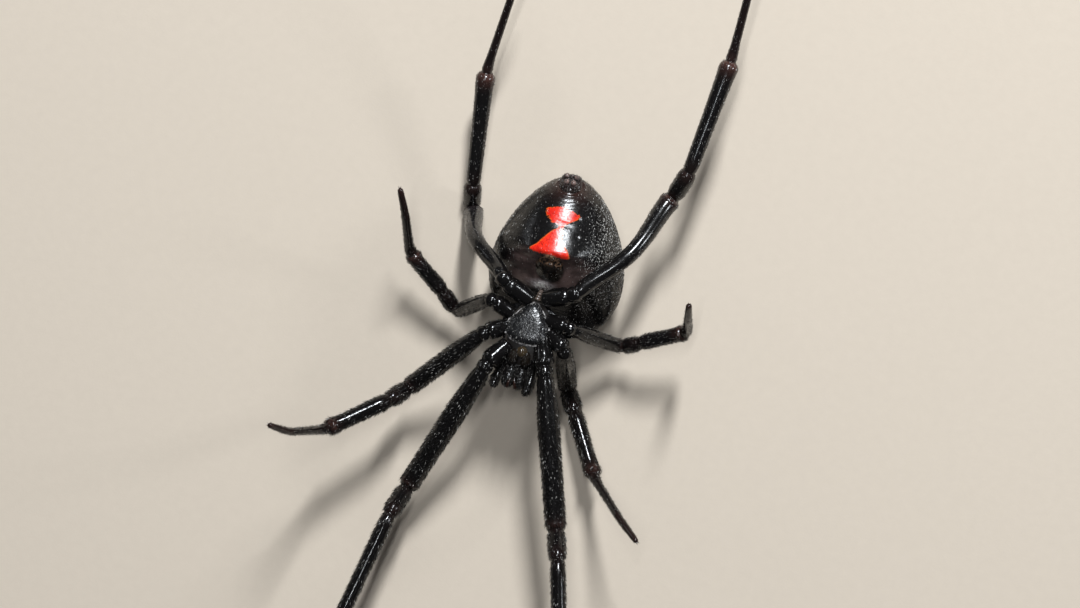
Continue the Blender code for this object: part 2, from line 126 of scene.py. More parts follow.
class Finish:
    """One procedural material, built node by node in the spider's own millimetres."""

    def __init__(self, name, roughness):
        self.material = bpy.data.materials.new(name)
        self.material.use_nodes = True
        self.tree = self.material.node_tree
        self.shader = self.tree.nodes["Principled BSDF"]
        self.set("Roughness", roughness)
        back = Matrix.Rotation(-STANCE_TILT, 3, "Y")
        where = self.node("TexCoord").outputs["Object"]
        self.place = self.node(
            "Mapping",
            {
                "Vector": where,
                "Location": back @ -STANCE_AT,
                "Rotation": (0.0, -STANCE_TILT, 0.0),
                "Scale": (1 / MM, 1 / MM, 1 / MM),
            },
        ).outputs["Vector"]

    def node(self, kind, inputs=None, **settings):
        """Adds a node. Each input is a number, a colour or another node's socket."""
        node = self.tree.nodes.new("ShaderNode" + kind)
        for name, value in settings.items():
            setattr(node, name, value)
        for key, value in (inputs or {}).items():
            self.put(value, node.inputs[key])
        return node

    def put(self, value, socket):
        """Sets a socket, or links it where the value is a socket itself."""
        if isinstance(value, bpy.types.NodeSocket):
            self.tree.links.new(value, socket)
        else:
            socket.default_value = value

    def set(self, name, value):
        """Sets one input of the Principled shader."""
        if isinstance(value, tuple) and len(value) == 3:
            value = (*value, 1.0)
        self.put(value, self.shader.inputs[name])

    def noise(self, size, detail=2.0):
        """Soft noise with features of about this many millimetres."""
        return self.node(
            "TexNoise", {"Vector": self.place, "Scale": 1.0 / size, "Detail": detail}
        ).outputs["Fac"]

    def pits(self, size):
        """Cells of about this many millimetres, as the distance from each cell's middle."""
        return self.node("TexVoronoi", {"Vector": self.place, "Scale": 1.0 / size}).outputs["Distance"]

    def math(self, operation, *values):
        """One sum, product, minimum and so on of numbers and sockets."""
        return self.node("Math", dict(enumerate(values)), operation=operation).outputs[0]

    def range(self, value, low, high, to_low=0.0, to_high=1.0, smooth=True):
        """Turns one range of numbers into another, clamped at both ends."""
        inputs = {"Value": value, "From Min": low, "From Max": high, "To Min": to_low, "To Max": to_high}
        kind = "SMOOTHSTEP" if smooth else "LINEAR"
        return self.node("MapRange", inputs, interpolation_type=kind).outputs["Result"]

    def mix(self, share, first, second):
        """A colour between two others."""
        colours = [(*c, 1.0) if isinstance(c, tuple) and len(c) == 3 else c for c in (first, second)]
        inputs = {0: share, 6: colours[0], 7: colours[1]}
        return self.node("Mix", inputs, data_type="RGBA").outputs[2]

    def attribute(self, name):
        """A number painted on the piece's vertices."""
        return self.node("Attribute", attribute_name=name).outputs["Fac"]

    def bump(self, height, depth, strength=1.0):
        """Small relief this many millimetres deep."""
        made = self.node("Bump", {"Height": height, "Distance": depth * MM, "Strength": strength})
        self.set("Normal", made.outputs["Normal"])


def finish_report(finish):
    """Says how many nodes a finish took, and hands over its material."""
    print(f"finish {finish.material.name}: {len(finish.tree.nodes)} nodes")
    return finish.material


# %% [markdown]
# ### Cuticle
#
# Legs, jaws and plates share one kind of finish. The cuticle is black and glossy, with pores about a
# twentieth of a millimetre across that break the gloss into sparks. Three numbers painted on the vertices
# drive what varies along a leg: `brown` where the cuticle thins beside a joint, `velvet` where it is dull
# and dense with pores, and `dust_and_sheen` for the grey wax bloom that some joints carry, which also
# paints a soft sheen there.

# %% Cuticle finishes
# Grey of a dusty bloom, which also paints a soft sheen.
DUST_AND_SHEEN_GREY = (0.034, 0.029, 0.031)


def make_cuticle(name, dark, brown, roughness, pore=0.035, depth=0.003, level=0.5):
    """Black to brown cuticle with pores, patches of wear, and a grey bloom that also paints a soft sheen."""
    finish = Finish(name, roughness)
    finish.set("Specular IOR Level", level)
    patches = finish.noise(0.6)
    fine = finish.noise(0.09, 4.0)
    browned = finish.math("MULTIPLY", finish.attribute("brown"), finish.range(patches, 0.3, 0.6, 0.65, 1.0))
    colour = finish.mix(browned, dark, brown)
    # The grey bloom, mixed in where it is painted, also paints a soft sheen.
    bloom_and_sheen = finish.math("MULTIPLY", finish.attribute("dust_and_sheen"), finish.range(fine, 0.35, 0.65, 0.5, 1.0))
    finish.set("Base Color", finish.mix(bloom_and_sheen, colour, DUST_AND_SHEEN_GREY))
    rough = finish.range(fine, 0.3, 0.7, roughness * 0.8, roughness * 1.35)
    dull = finish.math("MULTIPLY_ADD", finish.attribute("velvet"), 0.4, finish.math("MULTIPLY", bloom_and_sheen, 0.25))
    finish.set("Roughness", finish.math("ADD", rough, dull))
    relief = finish.math("ADD", finish.pits(pore), finish.math("MULTIPLY", finish.noise(0.12), 1.5))
    finish.bump(relief, depth, 0.6)
    return finish_report(finish)


leg_cuticle = make_cuticle("leg_cuticle", BLACK, BROWN, 0.12, 0.045, 0.002, 0.36)
hind_cuticle = make_cuticle("hind_leg_cuticle", BLACK, BROWN, 0.17, 0.05, 0.0012, 0.5)
plate_cuticle = make_cuticle("plate_cuticle", (0.0055, 0.0055, 0.006), BROWN, 0.24, 0.09, 0.012, 0.4)
mouth_cuticle = make_cuticle("mouth_cuticle", BLACK, (0.13, 0.085, 0.04), 0.1, 0.1, 0.03, 0.14)
spinneret_cuticle = make_cuticle(
    "spinneret_cuticle", (0.012, 0.008, 0.008), (0.24, 0.16, 0.14), 0.18, 0.05, 0.004, 0.45
)
waist_cuticle = make_cuticle("waist_cuticle", (0.085, 0.062, 0.05), (0.1, 0.06, 0.04), 0.25)
fang_cuticle = make_cuticle("fang_cuticle", (0.016, 0.006, 0.004), (0.1, 0.02, 0.01), 0.12, 0.05, 0.001)

# %% [markdown]
# ### Soft skin between the plates
#
# Between the breast shield, the carapace and the legs lies thin, folded skin. It is paler than the cuticle,
# and round the shield its pale colour also paints the highlights that show there as light lines.

# %% Soft skin
soft_skin = Finish("soft_skin", 0.42)
soft_skin.set("Base Color", soft_skin.mix(soft_skin.noise(0.3), (0.012, 0.01, 0.009), (0.05, 0.042, 0.038)))
soft_skin.bump(soft_skin.noise(0.05, 4.0), 0.01, 0.8)
membrane_skin = finish_report(soft_skin)

hinge_skin = Finish("hinge_skin", 0.4)
cracks = hinge_skin.range(hinge_skin.noise(0.1, 5.0), 0.42, 0.6)
# Pale crumbly skin, whose pale colour also paints the highlights along the shield's edges.
hinge_skin.set("Base Color", hinge_skin.mix(cracks, (0.02, 0.018, 0.017), (0.4, 0.38, 0.37)))
hinge_skin.bump(hinge_skin.noise(0.04, 4.0), 0.01, 0.8)
pale_hinge_and_highlight = finish_report(hinge_skin)

# %% [markdown]
# ### Abdomen skin with the hourglass
#
# The abdomen is a tight bag of satin black skin. Its mark is two red triangles that meet at the tips. Each
# edge of the mark is a curve across the belly, so a Float Curve node holds where the left and the right edge
# lie at each distance along the body, and a point is red where it lies between them. The red turns orange at
# the very edge. The skin in front of the mark, over the book lungs, is a dark purple brown.
# Just behind the waist a pale grey patch paints a glare.

# %% Hourglass edges, in millimetres across the belly for places along it
MARK_ALONG = (1.7, 4.2)
MARK_ACROSS = (-1.0, 1.4)
MARK_LEFT = (
    (1.7, 0.6), (1.8, 0.1), (1.86, -0.62), (1.92, -0.72), (2.21, -0.46), (2.6, -0.18), (2.95, 0.1),
    (3.15, 0.32), (3.24, 0.3), (3.3, -0.02), (3.5, -0.24), (3.8, -0.44), (3.88, -0.42), (3.97, -0.18),
    (4.06, 0.15), (4.2, 0.7),
)
MARK_RIGHT = (
    (1.7, 0.1), (1.76, 0.6), (1.81, 1.12), (1.88, 1.16), (2.11, 1.02), (2.32, 0.84), (2.61, 0.68),
    (2.95, 0.59), (3.2, 0.56), (3.3, 0.62), (3.46, 0.81), (3.7, 1.1), (3.8, 1.13), (3.9, 0.95),
    (4.02, 0.64), (4.2, 0.1),
)
BELLY_LEVEL = 4.4


def mark_edge(finish, along, points):
    """Where one edge of the hourglass lies, across the belly, at each place along it."""
    curve = finish.node("FloatCurve", {"Value": finish.range(along, *MARK_ALONG, smooth=False)})
    knots = curve.mapping.curves[0].points
    low, high = MARK_ALONG
    left, right = MARK_ACROSS
    shares = [((y - low) / (high - low), (x - left) / (right - left)) for y, x in points]
    knots[0].location, knots[1].location = shares[0], shares[-1]
    for share in shares[1:-1]:
        knots.new(*share)
    curve.mapping.update()
    return finish.range(curve.outputs["Value"], 0.0, 1.0, left, right, smooth=False)


def hourglass(finish):
    """How deep a point lies inside the red mark, in millimetres, and its place across, along and up."""
    ragged = finish.math("MULTIPLY_ADD", finish.noise(0.09, 4.0), 0.2, -0.1)
    spot = finish.node("SeparateXYZ", {"Vector": finish.place}).outputs
    across = finish.math("ADD", spot["X"], ragged)
    along = finish.math("ADD", spot["Y"], ragged)
    from_left = finish.math("SUBTRACT", across, mark_edge(finish, along, MARK_LEFT))
    from_right = finish.math("SUBTRACT", mark_edge(finish, along, MARK_RIGHT), across)
    return finish.math("MINIMUM", from_left, from_right), *(spot[axis] for axis in "XYZ")


# %% Abdomen skin
RED = (0.74, 0.024, 0.009)
DEEP_RED = (0.5, 0.012, 0.006)
ORANGE = (0.8, 0.13, 0.012)
# Purple brown over the book lungs: the skin's own tone, made lighter to paint light on that shaded slope.
PURPLE_BROWN = (0.15, 0.1, 0.092)
# Painted highlight: the pale glare just behind the waist.
PAINTED_WAIST_GLARE = (0.86, 0.8, 0.8)
RIM_BROWN = (0.13, 0.075, 0.045)


def make_abdomen_skin(name):
    """Satin black skin with the red mark, the brown fore belly and a pale glare painted behind the waist."""
    finish = Finish(name, 0.3)
    finish.set("Specular IOR Level", 0.42)
    inside, across, along, up = hourglass(finish)
    on_belly = finish.range(up, BELLY_LEVEL - 0.1, BELLY_LEVEL + 0.1)
    plate = finish.attribute("plate")
    off_plate = finish.math("SUBTRACT", 1.0, plate)
    red = finish.math("MULTIPLY", finish.range(inside, -0.03, 0.06), on_belly)
    red = finish.math("MULTIPLY", red, off_plate)
    red = finish.math("MULTIPLY", red, finish.range(finish.pits(0.09), 0.1, 0.4, 0.4, 1.0))
    fore = finish.math("MULTIPLY", finish.range(along, 2.1, 1.5), on_belly)
    fore = finish.math("MULTIPLY", fore, finish.range(finish.noise(0.7, 3.0), 0.35, 0.65, 0.35, 1.0))
    fore = finish.math("MULTIPLY", fore, off_plate)
    from_middle = finish.math("ABSOLUTE", finish.math("SUBTRACT", across, 0.3))
    fore = finish.math("MULTIPLY", fore, finish.range(from_middle, 2.3, 1.1))
    skin = finish.mix(fore, BLACK, PURPLE_BROWN)
    worn = finish.math("MULTIPLY", plate, finish.range(finish.noise(0.12, 3.0), 0.4, 0.6))
    worn = finish.math("MULTIPLY", worn, finish.range(along, 1.25, 1.5, 0.08, 1.0))
    skin = finish.mix(worn, skin, RIM_BROWN)
    skin = finish.mix(finish.attribute("brown"), skin, BROWN)
    # The pale patch behind the waist paints a glare, broken up by noise.
    patchy = finish.range(finish.noise(0.15, 3.0), 0.35, 0.65, 0.3, 1.0)
    skin = finish.mix(finish.math("MULTIPLY", finish.attribute("dust_and_sheen"), patchy), skin, PAINTED_WAIST_GLARE)
    mark = finish.mix(finish.range(finish.noise(0.35, 3.0), 0.35, 0.65), DEEP_RED, RED)
    mark = finish.mix(finish.range(inside, 0.0, 0.09), ORANGE, mark)
    finish.set("Base Color", finish.mix(red, skin, mark))
    fine = finish.noise(0.06, 4.0)
    satin = finish.range(fine, 0.3, 0.7, 0.13, 0.27)
    finish.set("Roughness", finish.math("MULTIPLY", satin, finish.range(plate, 0.0, 1.0, 1.0, 0.8)))
    stretched = finish.node("VectorMath", {0: finish.place, 1: (0.5, 2.2, 1.0)}, operation="MULTIPLY")
    folds = finish.node("TexNoise", {"Vector": stretched.outputs[0], "Scale": 4.5, "Detail": 4.0})
    relief = finish.math("MULTIPLY_ADD", folds.outputs["Fac"], 3.5, finish.pits(0.05))
    finish.bump(relief, 0.005, 0.7)
    return finish_report(finish)


abdomen_cuticle = make_abdomen_skin("abdomen_cuticle")

# %% [markdown]
# ### Eyes and bristles
#
# A spider's eye is a clear dome over a dark cup, so a deep brown colour under a clear coat is enough. Every
# bristle carries one painted number, `shade`, from black to straw, so that one finish serves the whole coat.
# The straw end is partly pale hair and partly painted glints.

# %% Eye and bristle finishes
eye = Finish("eye_dome", 0.05)
eye.set("Base Color", eye.mix(eye.noise(0.08), (0.01, 0.006, 0.004), (0.03, 0.016, 0.008)))
eye.set("Coat Weight", 1.0)
eye_dome = finish_report(eye)

bristle = Finish("bristle", 0.25)
bristle.set("Specular IOR Level", 0.12)
streaks = bristle.range(bristle.noise(0.03), 0.3, 0.7, 0.8, 1.2)
shade = bristle.math("MULTIPLY", bristle.attribute("shade"), streaks)
# Pale bristles are partly pale hair and partly painted glints.
bristle.set("Base Color", bristle.mix(shade, (0.005, 0.004, 0.0035), (0.85, 0.82, 0.77)))
bristle_finish = finish_report(bristle)

# %% [markdown]
# ## Limbs
#
# A leg is seven segments: coxa and trochanter at the body, then femur, patella, tibia, metatarsus and
# tarsus. It could be seven separate tubes, but a real leg is one skin that narrows into soft folds at each
# joint, so one skin is drawn through rings along the whole leg. Each segment is given by its heading and its
# rise, as a person would set up a jointed model.

# %% Rings along a line
def frames_along(points):
    """Way, side and up at each point of a line, turned as little as possible from one to the next."""
    ways = np.gradient(points, axis=0)
    ways /= np.linalg.norm(ways, axis=1, keepdims=True)
    start = np.cross(ways[0], (0.0, 0.0, 1.0))
    if np.linalg.norm(start) < 0.1:
        start = np.array((1.0, 0.0, 0.0))
    across = [start / np.linalg.norm(start)]
    for way in ways[1:]:
        side = across[-1] - way * (across[-1] @ way)
        across.append(side / np.linalg.norm(side))
    across = np.array(across)
    return ways, across, np.cross(ways, across)


def new_ring(made):
    """The vertices of a ring that was just extruded, and the edges between them."""
    verts = [item for item in made if isinstance(item, bmesh.types.BMVert)]
    edges = [item for item in made if isinstance(item, bmesh.types.BMEdge)]
    return verts, [edge for edge in edges if set(edge.verts).issubset(verts)]


def loft(bm, points, radii, sides):
    """Adds a closed skin drawn through round rings along a line, ring after ring."""
    ways, across, ups = frames_along(points)
    rings = []
    for point, way, side, up, radius in zip(points, ways, across, ups, radii):
        columns = (Vector(side * radius), Vector(up * radius), Vector(way), Vector(point))
        ring = Matrix([column.to_4d() for column in columns]).transposed()
        ring[3] = (0.0, 0.0, 0.0, 1.0)
        rings.append(ring)
    verts = bmesh.ops.create_circle(bm, cap_ends=False, segments=sides, radius=1.0)["verts"]
    bmesh.ops.transform(bm, matrix=rings[0], verts=verts)
    edges = list({edge for vert in verts for edge in vert.link_edges})
    bmesh.ops.contextual_create(bm, geom=edges)
    for before, after in zip(rings, rings[1:]):
        verts, edges = new_ring(bmesh.ops.extrude_edge_only(bm, edges=edges)["geom"])
        bmesh.ops.transform(bm, matrix=after @ before.inverted(), verts=verts)
    bmesh.ops.contextual_create(bm, geom=edges)
    bmesh.ops.recalc_face_normals(bm, faces=bm.faces)


def paint(piece, name, values):
    """Keeps one number for each vertex of a piece, for its material to read."""
    layer = piece.data.attributes.new(name, "FLOAT", "POINT")
    layer.data.foreach_set("value", np.asarray(values, np.float32))


# %% [markdown]
# The middle line of a leg turns each corner in a round bend, and the femur of a hind leg bows clear of the
# abdomen. The bend reaches equally far along both segments, so that its radius follows from the angle.

# %% Leg sizes, poses and middle lines
SEGMENTS = ("coxa", "trochanter", "femur", "patella", "tibia", "metatarsus", "tarsus")
LENGTHS = {
    1: (1.05, 0.4, 7.15, 1.85, 5.9, 6.6, 2.2),
    2: (0.8, 0.35, 5.0, 1.5, 3.3, 3.9, 1.6),
    3: (0.8, 0.3, 3.75, 1.25, 2.4, 2.8, 1.35),
    4: (1.25, 0.45, 6.4, 1.75, 5.35, 4.9, 1.9),
}
THICKNESS = {
    1: (0.47, 0.42, 0.51, 0.43, 0.37, 0.26, 0.22),
    2: (0.42, 0.38, 0.45, 0.43, 0.41, 0.25, 0.22),
    3: (0.4, 0.36, 0.36, 0.38, 0.39, 0.28, 0.23),
    4: (0.45, 0.43, 0.48, 0.45, 0.42, 0.26, 0.22),
}
STRAIGHT = (0.0, 0.0, 0.0)
# For each leg: where it starts, heading and rise of its seven segments in degrees, and its femur's bow.
POSE = {
    "left_1": (
        (-0.98, -2.72, 5.05),
        ((-124, 16), (-105, 6), (-113, -21), (-103, 45), (-101, 10), (-100, 12), (-98, 16)),
        STRAIGHT,
    ),
    "right_1": (
        (0.73, -2.26, 5.05),
        ((-70, 20), (-70, 12), (-74, -9), (-65, 49), (-74, 12), (-76, 14), (-78, 18)),
        STRAIGHT,
    ),
    "left_2": (
        (-1.2, -1.82, 5.05),
        ((-152, 20), (-140, 4), (-134, -27), (-125, 58), (-141, 20), (-162, 76), (164, 66)),
        STRAIGHT,
    ),
    "right_2": (
        (1.1, -1.74, 5.05),
        ((-36, 12), (-75, -35), (-95, -73), (-57, 34), (-58, 18), (-37, 52), (-36, 35)),
        STRAIGHT,
    ),
    "left_3": (
        (-1.15, -1.06, 5.05),
        ((158, 18), (172, -10), (-153, -57), (132, 34), (142, 17), (98, 52), (108, 39)),
        STRAIGHT,
    ),
    "right_3": (
        (0.86, -1.09, 5.05),
        ((-6, 12), (-14, -7), (-8, -57), (24, 44), (25, 14), (80, 77), (88, 65)),
        STRAIGHT,
    ),
    "left_4": (
        (-0.42, -0.3, 5.05),
        ((156, 24), (133, 14), (136, -52), (88, 52), (94, 15), (79, 28), (76, 24)),
        (-0.42, 0.0, 0.62),
    ),
    "right_4": (
        (0.44, -0.11, 5.15),
        ((17, 26), (34, 20), (60, -19), (65, 41), (82, 4), (86, 22), (88, 25)),
        (0.4, -0.3, 0.5),
    ),
}
KNEE_REACH = 0.62
KNEE_SHARE = 0.48
KNEE_STEPS = 24
FEMUR = SEGMENTS.index("femur")


def way_of(heading, rise):
    """The direction of a segment from its heading and rise in degrees."""
    heading, rise = math.radians(heading), math.radians(rise)
    return Vector((math.cos(rise) * math.cos(heading), math.cos(rise) * math.sin(heading), math.sin(rise)))


def knee_arc(joint, way_in, way_out, reach):
    """Points of the round bend at a joint."""
    bend = way_in.angle(way_out)
    if bend < math.radians(1.2):
        return [joint] * (KNEE_STEPS + 1)
    radius = reach / math.tan(bend / 2.0)
    start = joint - way_in * reach
    axis = way_in.cross(way_out).normalized()
    centre = start + axis.cross(way_in) * radius
    turns = (Matrix.Rotation(bend * step / KNEE_STEPS, 3, axis) for step in range(KNEE_STEPS + 1))
    return [centre + turn @ (start - centre) for turn in turns]


def leg_line(pose, pair):
    """A function that gives the middle of a leg at any segment counts, such as 2.5 half along the femur."""
    root, turns, bow = pose
    lengths = LENGTHS[pair]
    ways = [way_of(*turn) for turn in turns]
    joint = Vector(root)
    counts, places = [0.0], [joint]
    for index in range(1, len(SEGMENTS)):
        joint = joint + ways[index - 1] * lengths[index - 1]
        reach = min(KNEE_REACH, KNEE_SHARE * lengths[index - 1], KNEE_SHARE * lengths[index])
        for step, place in enumerate(knee_arc(joint, ways[index - 1], ways[index], reach)):
            side = 2.0 * step / KNEE_STEPS - 1.0
            counts.append(index + side * reach / lengths[index - 1 if side < 0.0 else index])
            places.append(place)
    counts.append(float(len(SEGMENTS)))
    places.append(joint + ways[-1] * lengths[-1])
    columns = np.array(places).T

    def middle(at):
        spots = np.stack([np.interp(at, counts, column) for column in columns], axis=1)
        spots += np.minimum(at, 0.0)[:, None] * lengths[0] * np.array(ways[0])
        lift = np.sin(np.pi * np.clip(at - FEMUR, 0.0, 1.0)) ** 2
        return spots + lift[:, None] * np.array(bow)

    return middle


# %% [markdown]
# The outline of each segment swells and narrows. At its far end the cuticle forms a collar with a crisp
# edge; past it the soft fold narrows to a neck, and the next segment swells from it. Two short tables of
# distances from the joint give that shape to every joint, whatever the size of the leg.

# %% Thickness along a leg
OUTLINES = {
    "coxa": ((0.0, 0.9), (0.35, 1.02), (0.7, 1.04), (1.0, 0.96)),
    "trochanter": ((0.0, 0.92), (0.5, 1.0), (1.0, 0.94)),
    "femur": ((0.0, 0.78), (0.08, 0.88), (0.3, 1.02), (0.7, 0.97), (0.93, 0.97), (1.0, 0.9)),
    "patella": ((0.0, 0.86), (0.25, 1.0), (0.75, 1.0), (1.0, 0.9)),
    "tibia": ((0.0, 0.86), (0.12, 0.98), (0.5, 0.92), (0.82, 0.92), (0.93, 1.05), (1.0, 0.96)),
    "metatarsus": ((0.0, 1.15), (0.05, 1.06), (0.13, 0.9), (0.25, 0.84), (0.6, 0.79), (1.0, 0.75)),
    "tarsus": ((0.0, 0.88), (0.5, 0.8), (0.85, 0.72), (0.95, 0.64), (0.985, 0.5), (1.0, 0.34)),
}
AFTER_JOINT = ((0.0, 0.0), (0.03, 0.1), (0.07, 0.35), (0.13, 0.7), (0.22, 0.92), (0.36, 1.0))
BEFORE_JOINT = ((0.0, 0.0), (0.04, 0.34), (0.08, 0.64), (0.14, 0.88), (0.2, 0.99), (0.3, 1.04), (0.45, 1.0))
NECKS = (0.8, 0.84, 0.84, 0.84, 0.8, 0.86)
ROOT_REACH = {1: 0.3, 2: 0.3, 3: 0.25, 4: 0.1}
RING_SPACING = 0.24
SHORT_SEGMENT = 1.2
HIND_OUTLINES = {
    "femur": ((0.0, 0.78), (0.08, 0.8), (0.3, 0.8), (0.6, 0.85), (0.85, 0.98), (0.95, 1.04), (1.0, 0.96)),
    "tibia": ((0.0, 0.84), (0.12, 0.88), (0.5, 0.94), (0.82, 1.04), (0.93, 1.13), (1.0, 0.98)),
}
LEG_SIDES = 16


def leg_rings(pair):
    """Segment counts of the rings along a leg, and the radius of each."""
    outlines = {**OUTLINES, **HIND_OUTLINES} if pair == 4 else OUTLINES
    ends = [[THICKNESS[pair][i] * outlines[s][e][1] for e in (0, -1)] for i, s in enumerate(SEGMENTS)]
    necks = [neck * min(ends[i][1], ends[i + 1][0]) for i, neck in enumerate(NECKS)]
    counts, radii = [], []
    for index, segment in enumerate(SEGMENTS):
        length, thick = LENGTHS[pair][index], THICKNESS[pair][index]
        first, last = index == 0, index == len(SEGMENTS) - 1
        squeeze = min(1.0, length / SHORT_SEGMENT)
        near = squeeze * np.array(AFTER_JOINT)[:, 0]
        far = length - squeeze * np.array(BEFORE_JOINT)[1:, 0]
        spots = np.concatenate([near, far, np.arange(0.5, length - 0.3, RING_SPACING)])
        spots = np.unique(np.round(np.clip(spots, 0.0, length), 4))
        if first:
            spots = np.append((-ROOT_REACH[pair], -0.4 * ROOT_REACH[pair]), spots)
        if last:
            spots = np.append(spots[spots < length - 0.02], length)
        skin = thick * np.interp(spots / length, *zip(*outlines[segment])) - SKIN_DEPTH
        start = np.ones_like(spots) if first else np.interp(spots / squeeze, *zip(*AFTER_JOINT))
        stop = np.ones_like(spots) if last else np.interp((length - spots) / squeeze, *zip(*BEFORE_JOINT))
        radius = skin * start * stop
        if not first:
            radius += (1.0 - start) * necks[index - 1]
        if not last:
            radius += start * (1.0 - np.minimum(stop, 1.0)) * necks[index]
        counts.extend(index + spots / length)
        radii.extend(radius)
    return np.array(counts), np.array(radii)


def spread_out(points, radii, least=0.02):
    """Leaves out rings that lie closer together than the least spacing."""
    kept = [0]
    for index in range(1, len(points)):
        if np.linalg.norm(points[index] - points[kept[-1]]) >= least:
            kept.append(index)
    return points[kept], radii[kept], kept


# %% [markdown]
# Near each joint the cuticle is thinner and brown, most of all at the end of the tibia and on the tarsus.
# The femora of the three front pairs are a little velvety, the hips and the hind legs glossy. One hind
# femur and patella carry a grey bloom that also paints a soft sheen on that joint. All three are painted on
# the rings.

# %% Legs
BROWN_START = {"patella": 0.15, "tibia": 0.1, "metatarsus": 0.3, "tarsus": 0.35}
BROWN_MIDDLE = {"metatarsus": 0.1, "tarsus": 0.35}
BROWN_END = {"femur": 0.55, "patella": 0.2, "tibia": 0.9, "metatarsus": 0.4, "tarsus": 0.6}
BROWN_REACH = 0.5
BROWN_PAIRS = {1: 0.75, 2: 0.55, 3: 0.5, 4: 1.0}
# A grey bloom on one hind knee, which also paints the soft sheen there.
BLOOM_AND_SHEEN = {"left_4": ((2.4, 0.0), (2.7, 0.15), (2.85, 0.35), (2.97, 0.4), (3.1, 0.25), (3.3, 0.0))}
NO_BLOOM_OR_SHEEN = ((0.0, 0.0), (1.0, 0.0))
LINE_STEPS = 1200
VELVET = {1: 0.3, 2: 0.15, 3: 0.12, 4: 0.0}
VELVET_ALONG = ((0.0, 0.0), (2.0, 0.1), (2.2, 1.0), (2.9, 1.0), (3.1, 0.6), (4.0, 0.1), (7.0, 0.3))


def leg_brown(counts, pair):
    """How brown the cuticle is at each segment count."""
    shares = []
    for count in counts:
        index = min(int(count), len(SEGMENTS) - 1)
        segment, length = SEGMENTS[index], LENGTHS[pair][index]
        from_start, from_end = (count - index) * length, (index + 1 - count) * length
        middle = BROWN_MIDDLE.get(segment, 0.0)
        start = BROWN_START.get(segment, 0.0) * math.exp(-((from_start / BROWN_REACH) ** 2))
        end = BROWN_END.get(segment, 0.0) * math.exp(-((from_end / BROWN_REACH) ** 2))
        shares.append(max(middle, start, end))
    return np.array(shares) * BROWN_PAIRS[pair]


def make_leg(leg):
    """One leg as a single skin, with its middle line kept for the coat."""
    pair = int(leg[-1])
    middle = leg_line(POSE[leg], pair)
    counts, radii = leg_rings(pair)
    points, radii, kept = spread_out(middle(counts), radii)
    counts = counts[kept]
    fine = np.linspace(0.0, len(SEGMENTS), LINE_STEPS)
    bm = bmesh.new()
    loft(bm, points, radii, LEG_SIDES)
    nodes = [f"leg_{leg}_{part}" for part in ("hip", "thigh", "shin", "foot")]
    cuticle = hind_cuticle if pair == 4 else leg_cuticle
    piece = add_piece(f"leg_{leg}_skin", bm, cuticle, nodes, 1)
    paint(piece, "brown", np.repeat(leg_brown(counts, pair), LEG_SIDES))
    # The grey bloom on this leg, partly a painted sheen.
    bloom_and_sheen = np.interp(counts, *zip(*BLOOM_AND_SHEEN.get(leg, NO_BLOOM_OR_SHEEN)))
    velvet = VELVET[pair] * np.interp(counts, *zip(*VELVET_ALONG))
    paint(piece, "dust_and_sheen", np.repeat(bloom_and_sheen, LEG_SIDES))
    paint(piece, "velvet", np.repeat(velvet, LEG_SIDES))
    line = {"points": middle(fine), "at": fine}
    print(f"leg {leg}: {len(points)} rings, {len(piece.data.polygons)} faces")
    return piece, line


legs = {leg: make_leg(leg) for leg in POSE}

# %% [markdown]
# ## Abdomen
#
# The abdomen is a globe that narrows to the spinnerets. A sphere with many faces is shaped by one function:
# a direction from the middle gives a place on the skin. Belly details are added as low hills and grooves:
# the genital plate with its slit, the furrow that runs out on both sides of it, the smooth covers of the
# book lungs, the ring fold round the spinnerets, and the small pits where muscles hold the skin.

# %% Abdomen shape
ABDOMEN_ENDS = (-1.9, 5.6)
ABDOMEN_SIDEWAYS = 0.32
ABDOMEN_HALF_WIDTH = 3.05
ABDOMEN_BELLY = 3.05
ABDOMEN_BACK = 2.85
ABDOMEN_MIDDLE = 3.1
BELLY_CREST = 0.15
BELLY_SPREADS = (0.8, 1.25)
SPINNERET_BASE = (0.32, 5.22, 5.08)
GENITAL_PLATE = (0.3, 1.24)
GENITAL_HALF_SIZE = (0.64, 0.59)
PIT_DEPTH = 0.04
BELLY_SLOPE = (2.2, 6.28, -0.34)
REAR_LEAN = 0.06


def hill(*offsets):
    """A smooth round hill of height 1 with its foot where the offsets reach about 2."""
    return np.exp(-sum(offset**2 for offset in offsets))


def ramp(value, low, high):
    """Rises smoothly from 0 at low to 1 at high."""
    share = np.clip((value - low) / (high - low), 0.0, 1.0)
    return share * share * (3.0 - 2.0 * share)


def belly_relief(x, y):
    """Height of the hills and grooves on the belly, in millimetres."""
    across, along = x - GENITAL_PLATE[0], y - GENITAL_PLATE[1]
    wide, long = GENITAL_HALF_SIZE
    off = np.hypot(across / wide, (along + 0.25 * across**2) / long)
    relief = 0.3 * ramp(1.1 - off, 0.0, 0.8) - 0.012 * hill((off - 1.1) / 0.12)
    relief += 0.07 * hill((off - 0.8) / 0.16) * ramp(along, -0.05, 0.25)
    relief -= 0.09 * hill(across / 0.34, (along - 0.26 + 0.5 * across**2) / 0.06)
    sideways = np.abs(across)
    furrow = ramp(sideways, 0.5, 0.9) * ramp(sideways, 2.6, 1.9)
    relief -= 0.014 * furrow * hill((along + 0.15 - 0.08 * across**2) / 0.09)
    relief += 0.06 * hill((sideways - 1.25) / 0.62, (along + 0.8) / 0.42)
    relief -= 0.035 * hill((x - 0.62) / 0.55, (y - 3.3) / 0.16)
    relief += 0.12 * hill((x - 0.05) / 0.4, (y - 0.5) / 0.15)
    for pit_x, pit_y in ((0.95, 1.64), (0.8, 2.49)):
        relief -= PIT_DEPTH * hill((sideways - pit_x) / 0.1, (along - pit_y) / 0.1)
    return relief


